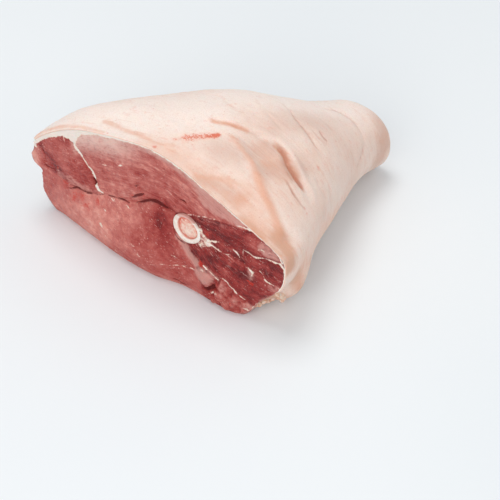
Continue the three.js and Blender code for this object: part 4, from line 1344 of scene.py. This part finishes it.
def lean_end(edge):
    """The sawn end of the shank within an edge: its points, what shows at them, and its tip."""
    share = np.linspace(1, 0.02, END_RINGS + 1)[1:]
    centre = edge.mean(0)
    flat = lerp(centre[None, None, 1:], edge[None, :, 1:], share[:, None, None])
    place = with_x(END_NOISE_X, flat)
    dish = END_DISH * smooth_step(1 - share, 0, END_DISH_RIM)[:, None]
    dish = dish - 0.4 * layered_noise(place, 6, seed=41)
    for bone in (SHIN_BONE, CALF_BONE):
        dish = dish + HOLLOW_DEPTHS[1] * (1 - smooth_step(bone_reach(flat, bone), *BONE_HOLLOWS[1]))
    fat = np.maximum(3.2 - (1 - share[:, None]) * 24, 1.6 * layered_noise(place, 8, seed=45) - 0.6)
    tip = np.array([[CUT_X + LEG_LENGTH - END_DISH, *centre[1:]]])
    looks = {"tone": 0.35, "streak": 0.4, "fat": fat, "grain": place}
    return with_x(CUT_X + LEG_LENGTH - dish, flat), looks, tip


def folded_ring(count):
    """Triangles that close a ring onto itself, across the line from its first point to the one opposite."""
    near = np.arange(count // 2)
    far, beyond = (count - near) % count, count - near - 1
    return np.concatenate([
        np.stack([near[:-1], near[:-1] + 1, beyond[:-1]], -1), np.stack([near[1:], beyond[1:], far[1:]], -1),
    ])


def add_lean():
    face, face_looks = lean_face()
    side, side_looks = lean_sides()
    end, end_looks, tip = lean_end(side[-1])
    parts = [(face, face_looks), (side, side_looks), (end, end_looks), (tip, {"grain": tip})]
    side_start, _, tip_start = np.cumsum([face[..., 0].size, side[..., 0].size, end[..., 0].size])
    last_ring = np.arange(tip_start - SIDE_AROUND, tip_start)
    side_edge = np.arange(side_start, side_start + SIDE_AROUND)
    faces = [
        grid_quads(*face.shape[:2], closed=True),
        grid_quads(len(side) + len(end), SIDE_AROUND, closed=True, start=side_start),
        folded_ring(AROUND),
        stepped_strip(np.arange(side_start - AROUND, side_start), side_edge, AROUND // SIDE_AROUND)[:, ::-1],
        np.stack([last_ring, np.full(SIDE_AROUND, tip_start), np.roll(last_ring, -1)], -1),
    ]
    attributes = {}
    for name, values in face_looks.items():
        kind = values.shape[2:]
        attributes[name] = np.concatenate([
            np.broadcast_to(looks.get(name, 0.0), points.shape[:-1] + kind).reshape(-1, *kind)
            for points, looks in parts
        ])
    points = np.concatenate([points.reshape(-1, 3) for points, _ in parts])
    dress(add_mesh("lean", points, faces, attributes), lean_material(), "leg")


# ---------------------------------------------------------------- bones and marrow

BONE_SIDES = 120
BONE_ANGLES = np.arange(BONE_SIDES) / BONE_SIDES * 2 * np.pi
BONE_WOBBLE = 0.03  # how uneven an outline is, as a share of its size
MARROW_EGG = 0.02
BONE_SHOWN = 30  # how deep the dressed shafts reach into the meat

# Rings of a sawn shaft and of the marrow in it: depth, and a place from 0 in the marrow's middle through 1 at
# its edge to 2 at the bone's outside.
SHAFT_PROFILE = [
    (8, 0.5), (7.5, 0.98), (1.2, 1), (0.3, 1.05), (0, 1.16), (-0.1, 1.5), (0, 1.84), (0.3, 1.95),
    (0.9, 2),
    (4, 2), (BONE_SHOWN, 2),
]
MARROW_PROFILE = [(0.3, 0.06), (0.35, 0.3), (0.5, 0.55), (0.7, 0.8), (1, 0.95), (1.4, 1.02), (7, 1.02)]

# How much each ring of the shaft, and of the marrow, takes the red of the marrow's edge.
SHAFT_INNER = (1, 1, 1, 0.8, 0.4, 0, 0, 0, 0, 0, 0)
MARROW_RIM = (0, 0, 0.04, 0.14, 0.28, 0.36, 0.36)
VEIL = (74.6, 78.4)  # the heights between which a skin of meat covers the thigh bone's ring
MARROW_LUMPY = 2  # mm from the saw's plane within which the marrow is lumpy
MARROW_REACH = 1.03  # the place up to which a ring still grows from the marrow's middle
MARROW_BLOOD = 2.2  # the angle round the thigh's marrow at which its edge is the reddest


def bone_outline(centre, half, egg, seed):
    circle = np.stack([np.cos(BONE_ANGLES), np.sin(BONE_ANGLES), 0 * BONE_ANGLES], -1)
    grow = 1 + egg * np.cos(3 * BONE_ANGLES) + BONE_WOBBLE * soft_noise(circle * 6, 5, seed)
    return centre + np.array([-1, 1]) * half * grow[:, None] * circle[:, :2]


def shaft_rings(bone, sawn_x, way, profile):
    rings = []
    for depth, place in profile:
        share = max(depth, 0) / bone["length"]
        centre = lerp(np.array(bone["sawn"], float), np.array(bone["inner"], float), share)
        outer = bone_outline(centre, bone["half"], bone["egg"], seed=61)
        middle = centre + bone["marrow_shift"]
        inner = bone_outline(middle, bone["marrow_half"], MARROW_EGG, seed=67)
        ring = lerp(middle, inner, place) if place < MARROW_REACH else lerp(inner, outer, place - 1)
        rings.append(with_x(sawn_x + way * depth, ring))
    return np.array(rings)


def closed_stack(name, rings, way, attributes):
    """A closed mesh from rings, each end drawn together in a point."""
    faces = stack_faces(*rings.shape[:2])
    if way < 0:
        faces = [group[:, ::-1] for group in faces]
    values = {label: np.append(value.ravel(), value[[0, -1], 0]) for label, value in attributes.items()}
    return add_mesh(name, np.concatenate([rings.reshape(-1, 3), rings[[0, -1]].mean(1)]), faces, values)


def add_bone(bone, name, sawn_x, way, paint):
    """The sawn end of a shaft: its wall stands a little proud and the marrow's hollow goes in."""
    rings = shaft_rings(bone, sawn_x, way, SHAFT_PROFILE)
    inner = np.broadcast_to(np.array(SHAFT_INNER, float)[:, None], rings.shape[:2])
    veil = smooth_step(rings[..., 2], *VEIL) * (1 if way > 0 else 0)
    piece = closed_stack(name + "_ring", rings[::-1], -way, {"inner": inner[::-1], "veil": veil[::-1]})
    dress(piece, paint, name)


def add_marrow(bone, name, sawn_x, way, paint):
    """The marrow in a sawn shaft, lumpy where it shows and reddest on one side of its edge."""
    rings = shaft_rings(bone, sawn_x, way, MARROW_PROFILE)
    near = (np.abs(rings[..., 0] - sawn_x) < MARROW_LUMPY)[..., None]
    lumps = way * 0.5 * layered_noise(rings + 50, 4, seed=71)[..., None]
    rings = rings - lumps * near * np.array([1.0, 0, 0])
    bloody = 1 + 0.9 * hump((BONE_ANGLES - MARROW_BLOOD + np.pi) % (2 * np.pi) - np.pi, 1.1)
    rim = np.array(MARROW_RIM, float)[:, None] * bloody[None, :]
    dress(closed_stack(name + "_plug", rings, way, {"rim": rim}), paint, name)


def add_bones():
    bone_paint, marrow_paint = bone_material(), marrow_material()
    at = np.array([THIGH_BONE["sawn"]], float)
    thigh_x = CUT_X - float((low_bulge(at) + add_humps(0, at, BELLIES))[0]) - THIGH_BONE["proud"]
    shin_x = CUT_X + LEG_LENGTH - END_DISH + SHIN_BONE["proud"]
    add_bone(THIGH_BONE, "thigh_bone", thigh_x, 1, bone_paint)
    add_marrow(THIGH_BONE, "thigh_marrow", thigh_x, 1, marrow_paint)
    add_bone(SHIN_BONE, "shin_bone", shin_x, -1, bone_paint)
    add_marrow(SHIN_BONE, "shin_marrow", shin_x, -1, marrow_paint)
    add_bone(CALF_BONE, "calf_bone", shin_x, -1, bone_paint)


# ---------------------------------------------------------------- scraps of fat

SCRAP_ROWS, SCRAP_SIDES = 20, 28
SCRAP_LIFT = 0.3  # the least height of a scrap

# Scraps that hang at the front flap's lower edge: middle (X, Y, Z) and half sizes.
SCRAPS = [
    ((-81.5, -119.5, 15.5), (5, 3.4, 4.4)), ((-80.5, -120.5, 11), (3.6, 3, 4.6)),
    ((-84.5, -118, 18), (4, 3, 3)),
    ((-98.5, -106, 8.5), (2.6, 2.2, 1.8)), ((-95, -107, 7), (3, 2.2, 2)),
    ((-91, -108.5, 8), (2.8, 2.2, 1.8)),
    ((-86, -109.5, 5.5), (3.2, 2.4, 2)), ((-83, -112.5, 8), (2.6, 2.2, 2.4)),
]


def add_scraps():
    up = np.linspace(0, np.pi, SCRAP_ROWS + 1)[1:-1, None]
    around = (np.arange(SCRAP_SIDES) / SCRAP_SIDES * 2 * np.pi)[None, :]
    ball = np.stack([np.sin(up) * np.cos(around), np.sin(up) * np.sin(around), np.cos(up) + 0 * around], -1)
    points, faces, start = [], [], 0
    for at, half in SCRAPS:
        place = np.array(at) + ball * half
        grown = 1 + 0.4 * layered_noise(place, 5, seed=83) + 0.12 * layered_noise(place, 1.8, seed=87)
        blob = np.array(at) + ball * half * grown[..., None]
        blob[..., 2] = np.maximum(blob[..., 2], SCRAP_LIFT)
        points += [blob.reshape(-1, 3), blob[[0, -1]].mean(1)]
        faces += stack_faces(*blob.shape[:2], start)
        start += blob[..., 0].size + 2
    dress(add_mesh("fat_scraps", np.concatenate(points), faces), fat_material(), "leg")


# ---------------------------------------------------------------- floor and light

FLOOR_SIZE = 6000
SURROUND_COLOUR = (250, 252, 255)
SURROUND_STRENGTH = 0.54

# Lights: name, direction from the leg, distance and size in metres, power in watts, and colour.
LIGHTS = [
    ("key", (0.1, 0.2, 1.0), 2.2, 1.2, 18, (1.0, 0.985, 0.965)),
    ("fill", (-1.0, -0.3, 0.6), 2.4, 2.2, 22, (1.0, 0.985, 0.97)),
    ("side", (0.6, -1.0, 0.5), 2.4, 2.0, 7, (1.0, 0.99, 0.98)),
]


def add_floor():
    half = FLOOR_SIZE / 2
    corners = np.array([(-half, -half, 0), (half, -half, 0), (half, half, 0), (-half, half, 0)], float)
    floor = add_mesh("floor", corners, [np.array([[0, 1, 2, 3]])])
    paint = Paint("floor")
    colour = paint.ramp(paint.noise(400.0, 1.0), (0.3, (232, 237, 240)), (0.7, (236, 240, 242)))
    floor.data.materials.append(paint.finish(colour, 0.5, paint.bump(paint.noise(3.0), 0.01)))


def add_light(name, direction, distance, size, power, colour):
    data = bpy.data.lights.new(name, "AREA")
    data.shape = "DISK"
    data.size = size
    data.energy = power
    data.color = colour
    light = bpy.data.objects.new(name, data)
    way = Vector(direction).normalized()
    light.location = way * distance
    light.rotation_euler = way.to_track_quat("Z", "Y").to_euler()
    scene.collection.objects.link(light)


def add_surround():
    world = bpy.data.worlds.new("studio")
    world.use_nodes = True
    background = world.node_tree.nodes["Background"].inputs
    background["Color"].default_value = srgb(SURROUND_COLOUR)
    background["Strength"].default_value = SURROUND_STRENGTH
    scene.world = world


scene.view_settings.view_transform = "Standard"
add_surround()
for light_settings in LIGHTS:
    add_light(*light_settings)
add_floor()

add_rind()
add_lean()
add_bones()
add_scraps()
